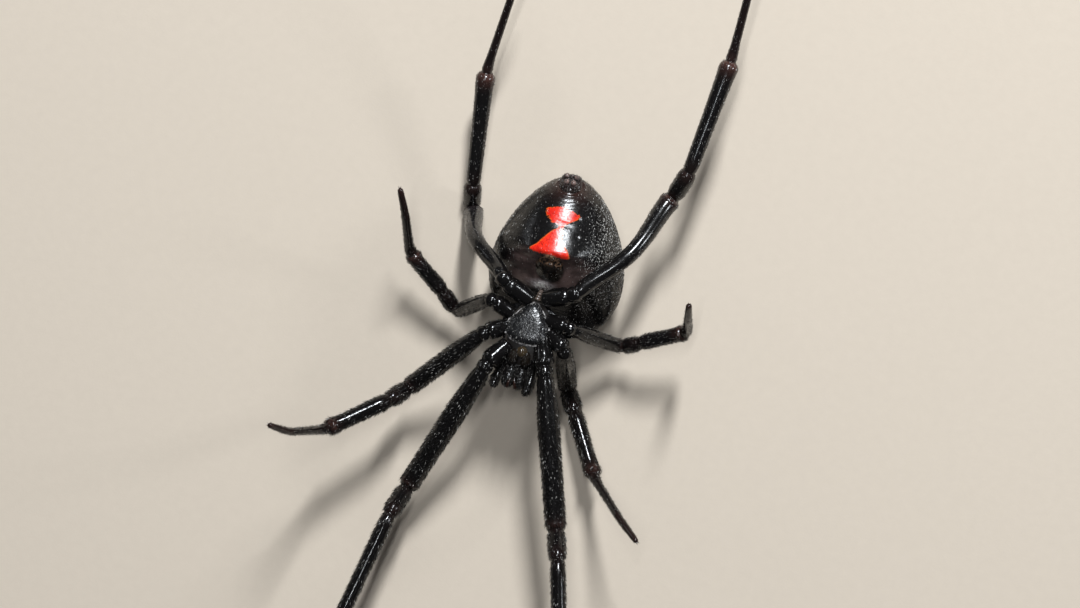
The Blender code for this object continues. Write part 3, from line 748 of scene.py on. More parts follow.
def back_relief(x, y):
    """Depth of the muscle pits on the back, in millimetres."""
    sideways = np.abs(x - ABDOMEN_SIDEWAYS)
    pits = ((0.7, -0.4), (0.95, 0.9), (1.0, 2.2), (0.8, 3.3))
    return -sum(2.0 * PIT_DEPTH * hill((sideways - px) / 0.16, (y - py) / 0.2) for px, py in pits)


def abdomen_place(way):
    """Where directions from the middle of the abdomen meet its skin."""
    along = way[:, 1]
    front, rear = ABDOMEN_ENDS
    y = (front + rear) / 2.0 + along * ((rear - front) / 2.0 - SKIN_DEPTH)
    spread = np.where(along < BELLY_CREST, *BELLY_SPREADS)
    belly = ABDOMEN_BELLY * np.exp(-(((along - BELLY_CREST) / spread) ** 2))
    back = ABDOMEN_BACK * (1.0 + 0.25 * along - 0.18 * along**2)
    middle = ABDOMEN_MIDDLE + 0.8 * along + 0.2 * along**2
    x = ABDOMEN_SIDEWAYS + (ABDOMEN_HALF_WIDTH * (1.0 - 0.25 * along) - SKIN_DEPTH) * way[:, 0]
    round_off = np.sqrt(np.maximum(1.0 - along**2, 1e-6))
    slope_start, slope_level, slope = BELLY_SLOPE
    flatter = slope_level + slope * (y - slope_start) - middle - round_off * belly
    flatter *= ramp(y, 1.5, 2.05) * ramp(y, 4.9, 4.2)
    flatter = np.where(flatter > 0.0, flatter * ramp(np.abs(x - ABDOMEN_SIDEWAYS), 2.1, 0.95), flatter)
    z = middle + way[:, 2] * (np.where(way[:, 2] > 0.0, belly, back) - SKIN_DEPTH)
    z += np.clip(way[:, 2], 0.0, 1.0) / round_off * flatter
    z -= np.clip(way[:, 2], 0.0, 1.0) * REAR_LEAN * (x - ABDOMEN_SIDEWAYS) * ramp(y, 2.4, 4.0)
    z += np.where(way[:, 2] > 0.0, belly_relief(x, y), back_relief(x, y))
    spots = np.stack([x, y, z], axis=1)
    from_tip = np.linalg.norm(spots - np.array(SPINNERET_BASE), axis=1)
    ring = 0.05 * hill((from_tip - 0.72) / 0.07) - 0.04 * hill((from_tip - 0.6) / 0.05)
    ring += 0.007 * np.cos(from_tip * 38.0 + 2.0 * spots[:, 0]) * hill(from_tip / 1.3)
    return spots + way * ring[:, None]


def ball(place, sides, rings):
    """A sphere, its poles at the front and rear, with every vertex moved to where place says."""
    bm = bmesh.new()
    bmesh.ops.create_uvsphere(bm, u_segments=sides, v_segments=rings, radius=1.0)
    ways = np.array([vert.co for vert in bm.verts])[:, (0, 2, 1)] * (1.0, 1.0, -1.0)
    for vert, spot in zip(bm.verts, place(ways)):
        vert.co = spot
    return bm


# %% Abdomen
TIP_RING_REACH = 0.8
WAIST_PATCH = (0.0, 0.45)
WAIST_PATCH_REACH = (0.42, 0.14)
WAIST_LEVELS = (3.6, 4.2)

abdomen_bm = ball(abdomen_place, sides=330, rings=260)
abdomen = add_piece("abdomen_skin", abdomen_bm, abdomen_cuticle, ["abdomen"])
spots = vertex_spots(abdomen)
tip_ring = hill(np.linalg.norm(spots - np.array(SPINNERET_BASE), axis=1) / TIP_RING_REACH)
# A pale patch just behind the waist paints a glare there.
from_patch = (spots[:, :2] - WAIST_PATCH) / WAIST_PATCH_REACH
waist_glare = hill(*from_patch.T) * ramp(spots[:, 2], *WAIST_LEVELS)
from_plate = (spots[:, :2] - GENITAL_PLATE) / GENITAL_HALF_SIZE
on_plate = ramp(np.hypot(*from_plate.T), 1.14, 0.96) * (spots[:, 2] > BELLY_LEVEL)
paint(abdomen, "brown", 0.6 * tip_ring)
paint(abdomen, "dust_and_sheen", np.minimum(1.4 * waist_glare, 1.0))
paint(abdomen, "plate", on_plate)
print("abdomen:", len(abdomen.data.polygons), "faces")

# %% [markdown]
# ## Spinnerets
#
# Six jointed cones and the anal tubercle stand in a rosette at the rear tip, on a low mound. Each is drawn
# through a few rings: a stout base, a soft fold, and a short tip with a flat field of spigots.

# %% Spinnerets
SPINNERET_LIFT = Matrix.Rotation(math.radians(58.0), 3, "X")
# For each cone: distance from the middle, turn round it in degrees, length and radius.
SPINNERETS = (
    (0.3, 46, 0.42, 0.22),
    (0.3, 134, 0.42, 0.22),
    (0.14, 180, 0.34, 0.1),
    (0.14, 0, 0.34, 0.1),
    (0.36, -36, 0.4, 0.19),
    (0.36, -144, 0.4, 0.19),
    (0.3, -90, 0.32, 0.15),
    (0.42, 90, 0.24, 0.08),
)
CONE_SHARES = (
    (-0.2, 0.9), (0.1, 1.0), (0.4, 1.02), (0.55, 0.94), (0.6, 0.72),
    (0.66, 0.8), (0.85, 0.74), (0.95, 0.6), (1.0, 0.3),
)


def make_spinnerets():
    """The rosette of cones on its mound."""
    base = Vector(SPINNERET_BASE)
    bm = ball(lambda way: np.array(base) + (way * (0.52, 0.2, 0.5)) @ np.array(SPINNERET_LIFT).T, 32, 18)
    for distance, turn, length, radius in SPINNERETS:
        turn = math.radians(turn)
        foot = Vector((distance * math.cos(turn), 0.0, distance * math.sin(turn)))
        tip = Vector((foot.x * 0.7, length, foot.z * 0.7))
        line = [np.array(base + SPINNERET_LIFT @ foot.lerp(tip, share)) for share, width in CONE_SHARES]
        widths = [radius * (1.0 - 0.25 * max(share, 0.0)) * width for share, width in CONE_SHARES]
        loft(bm, np.array(line), np.array(widths), 14)
    piece = add_piece("spinnerets_skin", bm, spinneret_cuticle, ["spinnerets"], 1)
    print("spinnerets:", len(piece.data.polygons), "faces")
    return piece


spinnerets = make_spinnerets()
height = (vertex_spots(spinnerets) - SPINNERET_BASE) @ np.array(SPINNERET_LIFT)[:, 1]
paint(spinnerets, "brown", 0.06 + 0.6 * ramp(height, 0.27, 0.4))

# %% [markdown]
# ## Head and breast
#
# The carapace is the hard shield of the back, here underneath. Behind the head it carries a pit, the fovea,
# and shallow grooves that run from it to the legs. On the belly side a heart-shaped shield, the sternum,
# lies between the hips. Soft skin closes the gap between the two.

# %% Carapace, shield and soft skin
PROSOMA_TURN = Matrix.Rotation(math.radians(-3.0), 3, "Z")
CARAPACE_ENDS = (-3.85, -0.4)
CARAPACE_HALF_WIDTH = 1.18
CARAPACE_MARGIN = 4.46
CARAPACE_DEPTH = 0.85
STERNUM_ENDS = (-2.35, -0.42)
STERNUM_HALF_WIDTH = 0.9
STERNUM_LEVEL = 5.2
STERNUM_SLOPE = 0.18


def turned(spots):
    """Places on the prosoma after its small turn about the waist."""
    return np.asarray(spots) @ np.array(PROSOMA_TURN).T


def carapace_place(way):
    """Where directions from the middle of the carapace meet its surface."""
    along = way[:, 1]
    front, rear = CARAPACE_ENDS
    y = (front + rear) / 2.0 + along * (rear - front) / 2.0
    around = np.maximum(1.0 - along**2, 1e-3)
    blunt = np.sqrt((1.0 - np.abs(along) ** 3) / around)
    steep = np.sqrt((1.0 - np.abs(along) ** np.where(along < 0.0, 5.0, 2.0)) / around)
    x = way[:, 0] * CARAPACE_HALF_WIDTH * blunt * (1.0 + 0.28 * np.sin(1.8 * along))
    rise = np.where(way[:, 2] > 0.0, 0.1, CARAPACE_DEPTH)
    drop = 0.3 * np.maximum(0.0, np.abs(along) - 0.9) / 0.1
    z = CARAPACE_MARGIN + way[:, 2] * steep * rise - drop
    turn = np.arctan2(x, y + 1.35)
    from_pit = np.hypot(x, y + 1.35)
    grooves = 0.04 * np.cos(4.0 * turn) ** 8 * hill((from_pit - 0.6) / 0.35)
    pit = 0.12 * hill(x / 0.24, (y + 1.35) / 0.11)
    z += np.where(way[:, 2] < -0.2, grooves + pit, 0.0)
    return turned(np.stack([x, y, z], axis=1))


def sternum_place(way, wider=0.0, rise=0.32):
    """Where directions from the middle of the breast shield meet its surface."""
    along = way[:, 1]
    front, rear = STERNUM_ENDS
    y = (front + rear) / 2.0 + along * (rear - front) / 2.0
    around = np.maximum(1.0 - along**2, 1e-3)
    square = np.sqrt((1.0 - np.abs(along) ** np.where(along < 0.0, 4.0, 2.0)) / around)
    shield = (1.0 - 0.42 * along - 0.12 * along**2) * (1.0 + (square - 1.0) * 0.6)
    points = 1.0 + 0.04 * np.cos(along * 9.0) * np.abs(way[:, 0])
    x = way[:, 0] * (STERNUM_HALF_WIDTH - SKIN_DEPTH + wider) * shield * points
    top = np.clip(way[:, 2], 0.0, 1.0)
    dome = np.where(way[:, 2] > 0.0, rise * (1.0 - (1.0 - top) ** 1.6), way[:, 2] * 0.5)
    z = STERNUM_LEVEL + dome - STERNUM_SLOPE * along
    z -= 0.03 * hill((np.abs(way[:, 0]) - 0.8) / 0.1) * (way[:, 2] > 0.0)
    return turned(np.stack([x, y * (1.0 + wider) + wider, z], axis=1))


def ball_at(middle, sizes):
    """A place function for a plain ball with its own half size along each axis."""
    return lambda way: turned(np.array(middle) + way * sizes)


carapace_bm = ball(carapace_place, sides=120, rings=90)
carapace = add_piece("carapace_shell", carapace_bm, plate_cuticle, ["carapace"])
sternum_bm = ball(sternum_place, sides=96, rings=64)
sternum = add_piece("sternum_shield", sternum_bm, plate_cuticle, ["sternum"])
pleura_bm = ball(ball_at((0.0, -1.85, 4.7), (1.0, 1.5, 0.36)), sides=48, rings=32)
pleura = add_piece("pleural_skin", pleura_bm, membrane_skin)
hinge_bm = ball(lambda way: sternum_place(way, wider=0.055, rise=0.1), sides=96, rings=64)
hinge = add_piece("shield_hinge", hinge_bm, pale_hinge_and_highlight)
faces = [len(piece.data.polygons) for piece in (carapace, sternum, pleura, hinge)]
print("carapace, shield, soft skin:", *faces, "faces")

# %% [markdown]
# ### Eyes
#
# Eight small eyes stand in two rows across the face. Each is a clear dome, half sunk in the carapace.

# %% Eyes
EYE_RADIUS = 0.1
EYE_ROWS = ((-8.0, (-40.0, -14.0, 14.0, 40.0)), (-34.0, (-46.0, -17.0, 17.0, 46.0)))


def make_eyes():
    """Eight domes, numbered from the front row's left eye."""
    number = 0
    for tilt, sides in EYE_ROWS:
        for side in sides:
            number += 1
            way = np.array([way_of(side - 90.0, tilt)])
            middle = carapace_place(way)[0]
            bm = ball(lambda way: middle + way * EYE_RADIUS * 0.98, 24, 16)
            add_piece(f"eye_{number}_dome", bm, eye_dome, [f"eye_{number}"])
    print("eyes:", number)


make_eyes()

# %% [markdown]
# ### Mouthparts and waist
#
# Two stout jaws, the chelicerae, stand in front, each with a curved fang folded inwards. Beside them are
# two feelers built like small legs, and between their bases the lip and two brown jaw plates. The waist is
# a thin ringed tube. Jaws, fangs, feelers and waist are drawn along smooth curves through a few points.

# %% Curves through points
def curve_through(points, steps):
    """Points of a smooth curve that passes through the given ones."""
    points = np.asarray(points, float)
    ends = np.vstack([2 * points[0] - points[1], points, 2 * points[-1] - points[-2]])
    share = np.linspace(0.0, 1.0, steps, endpoint=False)[:, None]
    made = []
    for a, b, c, d in zip(ends, ends[1:], ends[2:], ends[3:]):
        bend = (2 * a - 5 * b + 4 * c - d) * share**2 + (3 * b - a - 3 * c + d) * share**3
        made.append(b + 0.5 * ((c - a) * share + bend))
    return np.vstack([*made, points[-1:]])


def make_limb(name, points, radii, material, stands_for, knots=(), sides=14, tip=0.35):
    """A tapered limb along a smooth curve, narrowed at its joints and rounded at its far end."""
    steps = 12
    line = curve_through(points, steps)
    at = np.arange(len(line)) / steps
    widths = np.interp(at, np.arange(len(radii)), radii)
    for knot in knots:
        widths = widths * (1.0 - 0.22 * np.exp(-(((at - knot) / 0.09) ** 2)))
    left = np.linalg.norm(line - line[-1], axis=1)
    dome = np.sqrt(np.clip(1.0 - (1.0 - left / (radii[-1] * 1.2)) ** 2, tip**2, 1.0))
    widths = np.where(left < radii[-1] * 1.2, widths * dome, widths)
    bm = bmesh.new()
    loft(bm, line, widths, sides)
    piece = add_piece(name, bm, material, stands_for, 1)
    return piece, {"points": line, "at": at}


# %% Jaws, fangs, feelers, lip, plates and waist
CHELICERAE = {
    "left": ((-0.46, -3.42, 4.9), (-0.5, -3.9, 5.0), (-0.45, -4.42, 5.2)),
    "right": ((0.03, -3.42, 4.88), (0.05, -3.9, 5.0), (0.01, -4.42, 5.2)),
}
FANGS = {
    "left": ((-0.4, -4.4, 5.5), (-0.36, -4.2, 5.63), (-0.29, -3.96, 5.6)),
    "right": ((-0.04, -4.4, 5.5), (-0.08, -4.2, 5.63), (-0.15, -3.96, 5.6)),
}
PALPS = {
    "left": (
        (-0.71, -3.16, 4.86), (-0.86, -3.42, 4.74), (-1.0, -3.8, 4.7),
        (-1.1, -4.2, 4.75), (-1.08, -4.55, 5.05),
    ),
    "right": (
        (0.48, -3.0, 4.92), (0.51, -3.3, 4.83), (0.52, -3.75, 4.9),
        (0.5, -4.25, 5.05), (0.42, -4.62, 5.2),
    ),
}
mouthparts, feelers = {}, {}
for side in ("left", "right"):
    jaw = make_limb(
        f"chelicera_{side}_skin", CHELICERAE[side], (0.29, 0.31, 0.28), mouth_cuticle,
        [f"chelicera_{side}"], tip=0.5,
    )
    make_limb(
        f"fang_{side}_tooth", FANGS[side], (0.075, 0.055, 0.015), fang_cuticle,
        [f"fang_{side}"], sides=10,
    )
    feeler = make_limb(
        f"palp_{side}_skin", PALPS[side], (0.16, 0.21, 0.23, 0.24, 0.17), leg_cuticle,
        [f"palp_{side}"], knots=(1.0, 2.0, 3.0),
    )
    flip = -1.0 if side == "left" else 1.0
    plate_bm = ball(ball_at((flip * 0.29, -3.03, 5.25), (0.22, 0.36, 0.21)), sides=32, rings=20)
    plate = add_piece(
        f"maxilla_{side}_plate", plate_bm, mouth_cuticle, [f"maxilla_{side}"]
    )
    paint(jaw[0], "velvet", np.full(len(jaw[0].data.vertices), 0.12))
    paint(plate, "brown", np.full(len(plate.data.vertices), 0.04))
    mouthparts[side], feelers[side] = (jaw, plate), feeler

lip_bm = ball(ball_at((0.04, -2.74, 5.29), (0.27, 0.27, 0.17)), sides=28, rings=18)
lip = add_piece("labium_lip", lip_bm, mouth_cuticle, ["labium"])
paint(lip, "brown", np.full(len(lip.data.vertices), 0.28))
make_limb(
    "pedicel_skin", ((-0.02, -0.28, 4.78), (0.03, -0.05, 4.8), (0.1, 0.2, 4.86)), (0.15, 0.13, 0.15),
    waist_cuticle, ["pedicel"], knots=(0.5, 1.0, 1.5), tip=0.7,
)
print("mouthparts and waist made")

# %% [markdown]
# ### Claws
#
# Each foot ends in three small claws: two side by side and one between them. They are curved cones, joined
# into one piece for each foot.

# %% Claws
CLAW_LENGTH = 0.13
CLAW_SHARES = (0.0, 0.35, 0.7, 1.0)
CLAW_RADII = (0.024, 0.02, 0.013, 0.005)


def make_claws(leg, line):
    """Three curved claws at the tip of one foot."""
    tip, before = line["points"][-1], line["points"][-12]
    way = (tip - before) / np.linalg.norm(tip - before)
    side = np.cross(way, (0.0, 0.0, 1.0))
    side /= np.linalg.norm(side)
    down = np.cross(way, side)
    share = np.array(CLAW_SHARES)[:, None]
    bm = bmesh.new()
    for spread, reach in ((-0.5, 1.0), (0.5, 1.0), (0.0, 0.7)):
        start = tip - way * 0.03 + side * spread * 0.05
        curve = way * share + side * spread * 0.5 * share + down * 0.55 * share * share
        loft(bm, start + CLAW_LENGTH * reach * curve, np.array(CLAW_RADII), 8)
    return add_piece(f"claws_{leg}", bm, fang_cuticle)


claws = [make_claws(leg, line) for leg, (piece, line) in legs.items()]
print("claws on", len(claws), "feet")

# %% [markdown]
# ## The coat
#
# The spider looks smooth from afar, but short bristles cover her legs and belly, and their glints give the
# black its sparkle. Hair curves would not survive the export, so each bristle is a tiny tapered mesh of ten
# triangles. One bristle is modelled once; arrays then copy it to thousands of roots in one joined mesh.
#
# Roots are drawn at random on the finished surface, evenly by area. Each bristle leans along the limb
# towards its tip. A UV map gives every bristle its own small patch at its root's place on an unwrap of the
# skin: once round the limb, and once along it.

# %% One bristle
def make_bristle():
    """Vertices and faces of one bristle, from its root at 0 to its tip at 1."""
    bm = bmesh.new()
    ring = bmesh.ops.create_circle(bm, cap_ends=True, segments=3, radius=1.0)["verts"]
    edges = list({edge for vert in ring for edge in vert.link_edges})
    for scale in (0.78, 0.1):
        ring, edges = new_ring(bmesh.ops.extrude_edge_only(bm, edges=edges)["geom"])
        bmesh.ops.scale(bm, vec=(scale, scale, 1.0), verts=ring)
        bmesh.ops.translate(bm, vec=(0.0, 0.0, 0.5), verts=ring)
    bmesh.ops.pointmerge(bm, verts=ring, merge_co=(0.0, 0.0, 1.0))
    bmesh.ops.recalc_face_normals(bm, faces=bm.faces)
    bm.verts.index_update()
    verts = np.array([vert.co for vert in bm.verts])
    faces = [[vert.index for vert in face.verts] for face in bm.faces]
    bm.free()
    return verts, faces


BRISTLE_VERTS, BRISTLE_FACES = make_bristle()
BRISTLE_TRIANGLES = sum(len(face) - 2 for face in BRISTLE_FACES)
print("one bristle:", len(BRISTLE_VERTS), "vertices,", len(BRISTLE_FACES), "faces")

# %% Roots on a surface
NEAREST_PARTS = 40


def roots_on(piece, count):
    """Random places on a piece's finished surface, even by area, with the outward direction at each."""
    evaluated = piece.evaluated_get(bpy.context.evaluated_depsgraph_get())
    mesh = evaluated.to_mesh()
    mesh.calc_loop_triangles()
    verts = np.empty(len(mesh.vertices) * 3)
    mesh.vertices.foreach_get("co", verts)
    corners = np.empty(len(mesh.loop_triangles) * 3, int)
    mesh.loop_triangles.foreach_get("vertices", corners)
    evaluated.to_mesh_clear()
    triangles = in_spider(verts.reshape(-1, 3))[corners.reshape(-1, 3)]
    cross = np.cross(triangles[:, 1] - triangles[:, 0], triangles[:, 2] - triangles[:, 0])
    area = np.linalg.norm(cross, axis=1)
    chosen = rng.choice(len(area), count, p=area / area.sum())
    a, b = rng.random((2, count, 1))
    a, b = np.where(a + b > 1.0, 1.0 - a, a), np.where(a + b > 1.0, 1.0 - b, b)
    first, second, third = triangles[chosen].transpose(1, 0, 2)
    spots = first + a * (second - first) + b * (third - first)
    return spots, cross[chosen] / area[chosen, None]


def where_on(line, spots):
    """For each place, how far along a line it lies, which way the line runs there, and its turn round it."""
    points = line["points"]
    ways, across, ups = frames_along(points)
    parts = np.array_split(spots, NEAREST_PARTS)
    nearest = np.concatenate([((part[:, None] - points[None]) ** 2).sum(2).argmin(1) for part in parts])
    off = spots - points[nearest]
    turn = np.arctan2((off * ups[nearest]).sum(1), (off * across[nearest]).sum(1)) / (2.0 * np.pi) + 0.5
    return line["at"][nearest], ways[nearest], turn


# %% Bend the one bristle to every root
BRISTLE_CURL = 0.25
ROOT_DEPTH = 0.015
UV_PATCH = 0.0015


def unit(vectors):
    """The same directions with length 1."""
    return vectors / np.maximum(np.linalg.norm(vectors, axis=1, keepdims=True), 1e-9)


def bristle_places(spots, outs, grown, long, thick):
    """The vertices of one bristle at every root, stretched and bent there, on the floor in metres."""
    aside = unit(np.cross(grown, outs))
    upper = np.cross(aside, grown)
    roots = spots - outs * ROOT_DEPTH
    flat, height = BRISTLE_VERTS[:, :2], BRISTLE_VERTS[:, 2]
    verts = (
        roots[:, None]
        + flat[None, :, :1] * (thick * aside)[:, None]
        + flat[None, :, 1:] * (thick * upper)[:, None]
        + height[None, :, None] * (long * grown)[:, None]
        - (height**2)[None, :, None] * (BRISTLE_CURL * long * upper)[:, None]
    )
    world = verts.reshape(-1, 3) @ np.array(TO_FLOOR)[:3, :3].T + np.array(TO_FLOOR)[:3, 3]
    world[:, 2] = np.maximum(world[:, 2], 0.0)
    return world


def coat_mesh(name, world, along, turn):
    """One mesh of all the bristles of a coat, with its UV map."""
    total = len(along)
    corners = np.array([index for face in BRISTLE_FACES for index in face])
    sizes = np.array([len(face) for face in BRISTLE_FACES])
    loops = (corners[None] + len(BRISTLE_VERTS) * np.arange(total)[:, None]).ravel()
    starts = np.concatenate([[0], np.cumsum(np.tile(sizes, total))[:-1]])
    mesh = bpy.data.meshes.new(name)
    mesh.vertices.add(len(world))
    mesh.vertices.foreach_set("co", world.ravel())
    mesh.loops.add(len(loops))
    mesh.loops.foreach_set("vertex_index", loops)
    mesh.polygons.add(total * len(sizes))
    mesh.polygons.foreach_set("loop_start", starts)
    mesh.update(calc_edges=True)
    patch = np.stack([BRISTLE_VERTS[corners, 0], 2.0 * BRISTLE_VERTS[corners, 2] - 1.0], axis=1) * UV_PATCH
    share = (along - along.min()) / max(np.ptp(along), 1e-9)
    middle = np.stack([turn, share], axis=1) * (1.0 - 4.0 * UV_PATCH) + 2.0 * UV_PATCH
    layer = mesh.uv_layers.new(name="OFBake")
    layer.data.foreach_set("uv", (middle[:, None] + patch[None]).ravel())
    mesh.materials.append(bristle_finish)
    mesh.shade_smooth()
    return mesh


# %% Grow a coat
BRISTLE_YAW = 0.3
PALE_SHORTENING = 0.4
LEAST_ROOT_HEIGHT = 0.05
FLOOR_CLEARANCE = 0.02
EVEN_LENGTHS = ((0.0, 1.0), (1.0, 1.0))


def floor_height(spots):
    """Height above the floor, in millimetres, of places in the spider's frame."""
    up = np.array(TO_FLOOR)[2] / MM
    return spots @ up[:3] + up[3]


def grow(name, piece, line, count, length, width, lift, shade, keep=None, pale=7, lengths=EVEN_LENGTHS):
    """A joined mesh of bristles on a piece. Lift is their angle off the skin, in degrees."""
    spots, outs = roots_on(piece, count)
    along, ways, turn = where_on(line, spots)
    if keep is not None:
        kept = rng.random(len(spots)) < keep(spots, along, outs)
        spots, outs, along, ways, turn = (part[kept] for part in (spots, outs, along, ways, turn))
    lie = unit(ways - outs * (ways * outs).sum(1, keepdims=True) + 1e-6)
    yaw = rng.normal(0.0, BRISTLE_YAW, (len(spots), 1))
    lie = lie * np.cos(yaw) + np.cross(outs, lie) * np.sin(yaw)
    rise = np.radians(rng.uniform(*lift, (len(spots), 1)))
    grown = lie * np.cos(rise) + outs * np.sin(rise)
    darkest, palest = shade
    shades = darkest + (palest - darkest) * rng.random((len(spots), 1)) ** pale
    long = rng.uniform(*length, (len(spots), 1)) * np.interp(along, *zip(*lengths))[:, None]
    long *= 1.0 - PALE_SHORTENING * shades
    clear = floor_height(spots + grown * long) > FLOOR_CLEARANCE
    high = (floor_height(spots) > LEAST_ROOT_HEIGHT) & clear
    spots, outs, along, turn, grown, long, shades = (
        part[high] for part in (spots, outs, along, turn, grown, long, shades)
    )
    thick = width * (0.6 + 0.4 * long / max(length)) * (1.0 + shades) * rng.uniform(0.8, 1.2, long.shape)
    mesh = coat_mesh(name, bristle_places(spots, outs, grown, long, thick), along, turn)
    coat = finish_piece(bpy.data.objects.new(name, mesh))
    paint(coat, "shade", np.repeat(shades, len(BRISTLE_VERTS)))
    triangles = len(spots) * BRISTLE_TRIANGLES
    print(f"{name}: {len(spots)} bristles, {triangles} triangles")
    return triangles


# %% [markdown]
# Leg bristles are dark and stand out at a low angle, longer on the femur than on the foot; their few pale
# ones are partly painted glints. The belly has shorter ones that catch the light, fewer on the lung covers
# and the genital plate and most on the right flank, where short pale bristles also paint the glints of that
# side. A small pale tuft behind the waist paints the glare there. The shield is finely frosted, and the jaw
# plates have a thin fringe.

# %% Coats of the legs and belly
LEG_LENGTHS_ALONG = (
    (0.0, 0.6), (1.0, 0.6), (2.0, 0.65), (2.4, 1.0), (4.9, 1.0), (5.5, 0.9), (6.2, 0.75), (7.0, 0.5),
)
BRISTLES_PER_LENGTH = {1: 560, 2: 520, 3: 480, 4: 360}
LEG_COATS = {
    1: ((0.1, 0.25), 0.008, (20, 50), (0.0, 1.0)),
    2: ((0.1, 0.25), 0.008, (20, 50), (0.0, 1.0)),
    3: ((0.09, 0.2), 0.0075, (20, 50), (0.0, 0.35)),
    4: ((0.07, 0.16), 0.0065, (18, 42), (0.0, 0.8)),
}
# How rare the pale bristles are on each pair; they are partly pale hair and partly painted glints.
PALE_ONES = {1: 30, 2: 22, 3: 9, 4: 8}
HIP_SHARES = {1: 1.0, 2: 1.0, 3: 0.6, 4: 0.5}


def keep_on_leg(pair):
    """The share of bristles kept along a leg of one pair: fewer on the glossy hips of the hind pairs."""
    hips = HIP_SHARES[pair]

    def keep(spots, along, outs):
        return np.interp(along, (0.0, 1.6, 2.2, 5.0, 5.3, 7.0), (hips, hips, 1.0, 0.9, 0.7, 0.6))

    return keep


def keep_on_belly(spots, along, outs):
    """Few in the middle, fewer on the lung covers and the genital plate, most on the right flank to paint
    its glints.
    """
    sideways = np.abs(spots[:, 0] - GENITAL_PLATE[0])
    ahead = spots[:, 1] - GENITAL_PLATE[1]
    belly = spots[:, 2] > BELLY_LEVEL
    lung_cover = 0.5 * hill((sideways - 1.25) / 0.7, (ahead + 0.55) / 0.5)
    bare = lung_cover + 0.8 * hill(sideways / 0.55, (ahead + 0.1) / 0.5)
    # More on the right flank, so that pale bristles paint the glints of that side.
    flank = 0.25 + 0.2 * ramp(spots[:, 0], -1.2, -2.4) + 0.75 * ramp(spots[:, 0], 0.9, 2.4)
    return flank * (1.0 - np.minimum(bare, 1.0) * belly)


def straight_line(start, end, steps):
    """A straight line, with how far along it each of its points lies."""
    return {"points": np.linspace(start, end, steps), "at": np.linspace(0.0, 1.0, steps)}


total = 0
for leg, (piece, line) in legs.items():
    pair = int(leg[-1])
    count = int(BRISTLES_PER_LENGTH[pair] * sum(LENGTHS[pair]))
    total += grow(
        f"coat_leg_{leg}", piece, line, count, *LEG_COATS[pair],
        keep_on_leg(pair), PALE_ONES[pair], LEG_LENGTHS_ALONG,
    )

abdomen_axis = straight_line((0.32, -1.9, 2.6), (0.33, 5.6, 4.1), 60)
total += grow(
    "coat_abdomen", abdomen, abdomen_axis, 36000, (0.08, 0.17), 0.0075, (12, 35), (0.0, 1.0), keep_on_belly
)


def keep_right_flank_glints(spots, along, outs):
    """Only the right flank, where pale bristles paint the glints of that side."""
    return ramp(spots[:, 0], 1.4, 2.4) * ramp(spots[:, 2], 3.0, 4.2)


total += grow(
    "coat_flank_glints", abdomen, abdomen_axis, 24000, (0.035, 0.065), 0.02, (40, 75), (0.0, 1.0),
    keep_right_flank_glints, pale=2.5,
)


def keep_waist_glare(spots, along, outs):
    """Only a small tuft on the belly, just behind the waist, whose pale bristles paint the glare there."""
    tuft = hill((spots[:, 0] - 0.02) / 0.22, (spots[:, 1] - 0.44) / 0.1)
    return tuft * ramp(spots[:, 2], *WAIST_LEVELS)


# A pale tuft that paints the glare just behind the waist.
total += grow(
    "coat_waist_glare", abdomen, abdomen_axis, 150000, (0.12, 0.22), 0.011, (50, 85), (0.75, 1.0),
    keep_waist_glare, pale=1.0,
)

# %% Coats of the shield, jaws, feelers and spinnerets
shield_axis = straight_line((0.0, -2.4, 5.2), (0.0, -0.4, 5.2), 40)
shield_axis["points"] = turned(shield_axis["points"])


def keep_outer_side(spots, along, outs):
    """Only the side that faces away from the body's inside."""
    return np.clip(outs[:, 2] * 4.0, 0.0, 1.0)


def keep_back(spots, along, outs):
    """Only the back of the carapace."""
    return np.clip(-outs[:, 2] * 4.0, 0.0, 1.0)


total += grow(
    "coat_sternum", sternum, shield_axis, 2600, (0.06, 0.13), 0.01, (12, 35), (0.0, 1.0),
    keep_outer_side, pale=5,
)
total += grow(
    "coat_carapace", carapace, shield_axis, 1800, (0.08, 0.16), 0.008, (20, 45), (0.0, 0.3), keep_back
)
plate_line = straight_line((0.0, -2.6, 5.25), (0.0, -3.4, 5.3), 20)
for side in ("left", "right"):
    piece, line = feelers[side]
    total += grow(f"coat_palp_{side}", piece, line, 700, (0.1, 0.22), 0.01, (20, 45), (0.0, 0.12))
    (jaw, jaw_line), plate = mouthparts[side]
    total += grow(f"coat_chelicera_{side}", jaw, jaw_line, 900, (0.08, 0.18), 0.008, (15, 50), (0.0, 0.25))
    total += grow(f"coat_maxilla_{side}", plate, plate_line, 200, (0.1, 0.2), 0.008, (15, 40), (0.0, 0.25))
lip_line = straight_line((0.04, -2.45, 5.4), (0.04, -3.1, 5.4), 20)
total += grow("coat_lip", lip, lip_line, 220, (0.08, 0.16), 0.009, (20, 50), (0.0, 0.2), keep_outer_side)
tip_end = Vector(SPINNERET_BASE) + SPINNERET_LIFT @ Vector((0.0, 0.6, 0.0))
tip_axis = straight_line(SPINNERET_BASE, tip_end, 20)
total += grow("coat_spinnerets", spinnerets, tip_axis, 1100, (0.07, 0.16), 0.009, (15, 45), (0.1, 0.6))
print("coat in all:", total, "triangles")

# %% [markdown]
# ## Camera, floor and light
#
# The camera looks down on the belly from fifteen centimetres away, a little from the spider's left and
# rolled by thirteen degrees. The floor is plain and pale. One soft lamp stands behind the spider and draws
# the long thin glints on legs and belly, two weaker ones fill the shadows, and a long thin one overhead
# draws glints along the front legs.

# %% Camera
AIM = Vector((1.645, 3.11, 5.2)) * MM
DISTANCE = 150.0 * MM
CAMERA_LEAN = math.radians(4.67)
CAMERA_ROLL = math.radians(13.0)
CAMERA_LENS = 110.5
CAMERA_SENSOR = 36.0

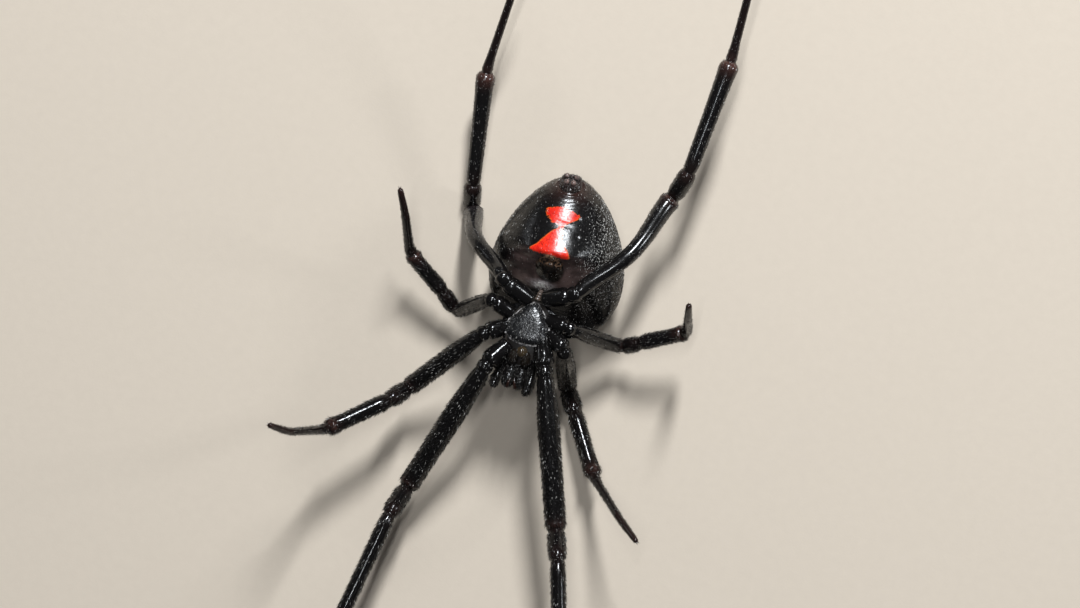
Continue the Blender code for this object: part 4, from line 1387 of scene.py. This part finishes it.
camera_data = bpy.data.cameras.new("camera")
camera_data.lens = CAMERA_LENS
camera_data.sensor_width = CAMERA_SENSOR
camera_data.clip_start = 0.005
camera_data.clip_end = 5.0
camera = bpy.data.objects.new("camera", camera_data)
bpy.context.scene.collection.objects.link(camera)
facing = Matrix.Rotation(CAMERA_LEAN, 4, "Y") @ Matrix.Rotation(CAMERA_ROLL, 4, "Z")
camera.matrix_world = Matrix.Translation(AIM) @ facing @ Matrix.Translation((0.0, 0.0, DISTANCE))
bpy.context.scene.camera = camera
print("camera height:", round(camera.matrix_world.translation.z / MM, 1), "mm")

# %% Floor
FLOOR_HALF_SIZE = 0.6

floor_finish = Finish("floor_paper", 0.75)
grain = floor_finish.noise(0.4, 3.0)
floor_finish.set("Base Color", floor_finish.mix(grain, (0.475, 0.41, 0.335), (0.505, 0.436, 0.356)))
floor_finish.bump(floor_finish.noise(0.1, 3.0), 0.01, 0.3)
floor_bm = bmesh.new()
bmesh.ops.create_grid(floor_bm, x_segments=1, y_segments=1, size=FLOOR_HALF_SIZE)
floor_mesh = bpy.data.meshes.new("floor")
floor_bm.to_mesh(floor_mesh)
floor_bm.free()
floor_mesh.materials.append(finish_report(floor_finish))
floor = bpy.data.objects.new("floor", floor_mesh)
bpy.context.scene.collection.objects.link(floor)

# %% Lights
LAMPS = {
    "key_lamp": ((13.0, 175.0, 200.0), (30.0, 80.0), 1.0),
    "left_lamp": ((-190.0, 85.0, 75.0), (40.0, 40.0), 0.015),
    "right_lamp": ((185.0, 80.0, 110.0), (40.0, 40.0), 0.12),
    "top_lamp": ((3.0, 20.0, 245.0), (8.0, 80.0), 0.16),
}
LAMP_COLOUR = (0.92, 0.96, 1.0)
SKY_COLOUR = (0.93, 0.95, 1.0, 1.0)
SKY_STRENGTH = 0.07

for name, (place, (wide, high), power) in LAMPS.items():
    lamp_data = bpy.data.lights.new(name, "AREA")
    lamp_data.shape = "ELLIPSE"
    lamp_data.size = wide * MM
    lamp_data.size_y = high * MM
    lamp_data.energy = power
    lamp_data.color = LAMP_COLOUR
    lamp = bpy.data.objects.new(name, lamp_data)
    lamp.location = Vector(place) * MM
    lamp.rotation_euler = (lamp.location - AIM).to_track_quat("Z", "Y").to_euler()
    bpy.context.scene.collection.objects.link(lamp)

world = bpy.data.worlds.new("studio")
world.use_nodes = True
sky = world.node_tree.nodes["Background"]
sky.inputs["Color"].default_value = SKY_COLOUR
sky.inputs["Strength"].default_value = SKY_STRENGTH
bpy.context.scene.world = world
bpy.context.scene.view_settings.view_transform = "Standard"
print("lamps:", *LAMPS)
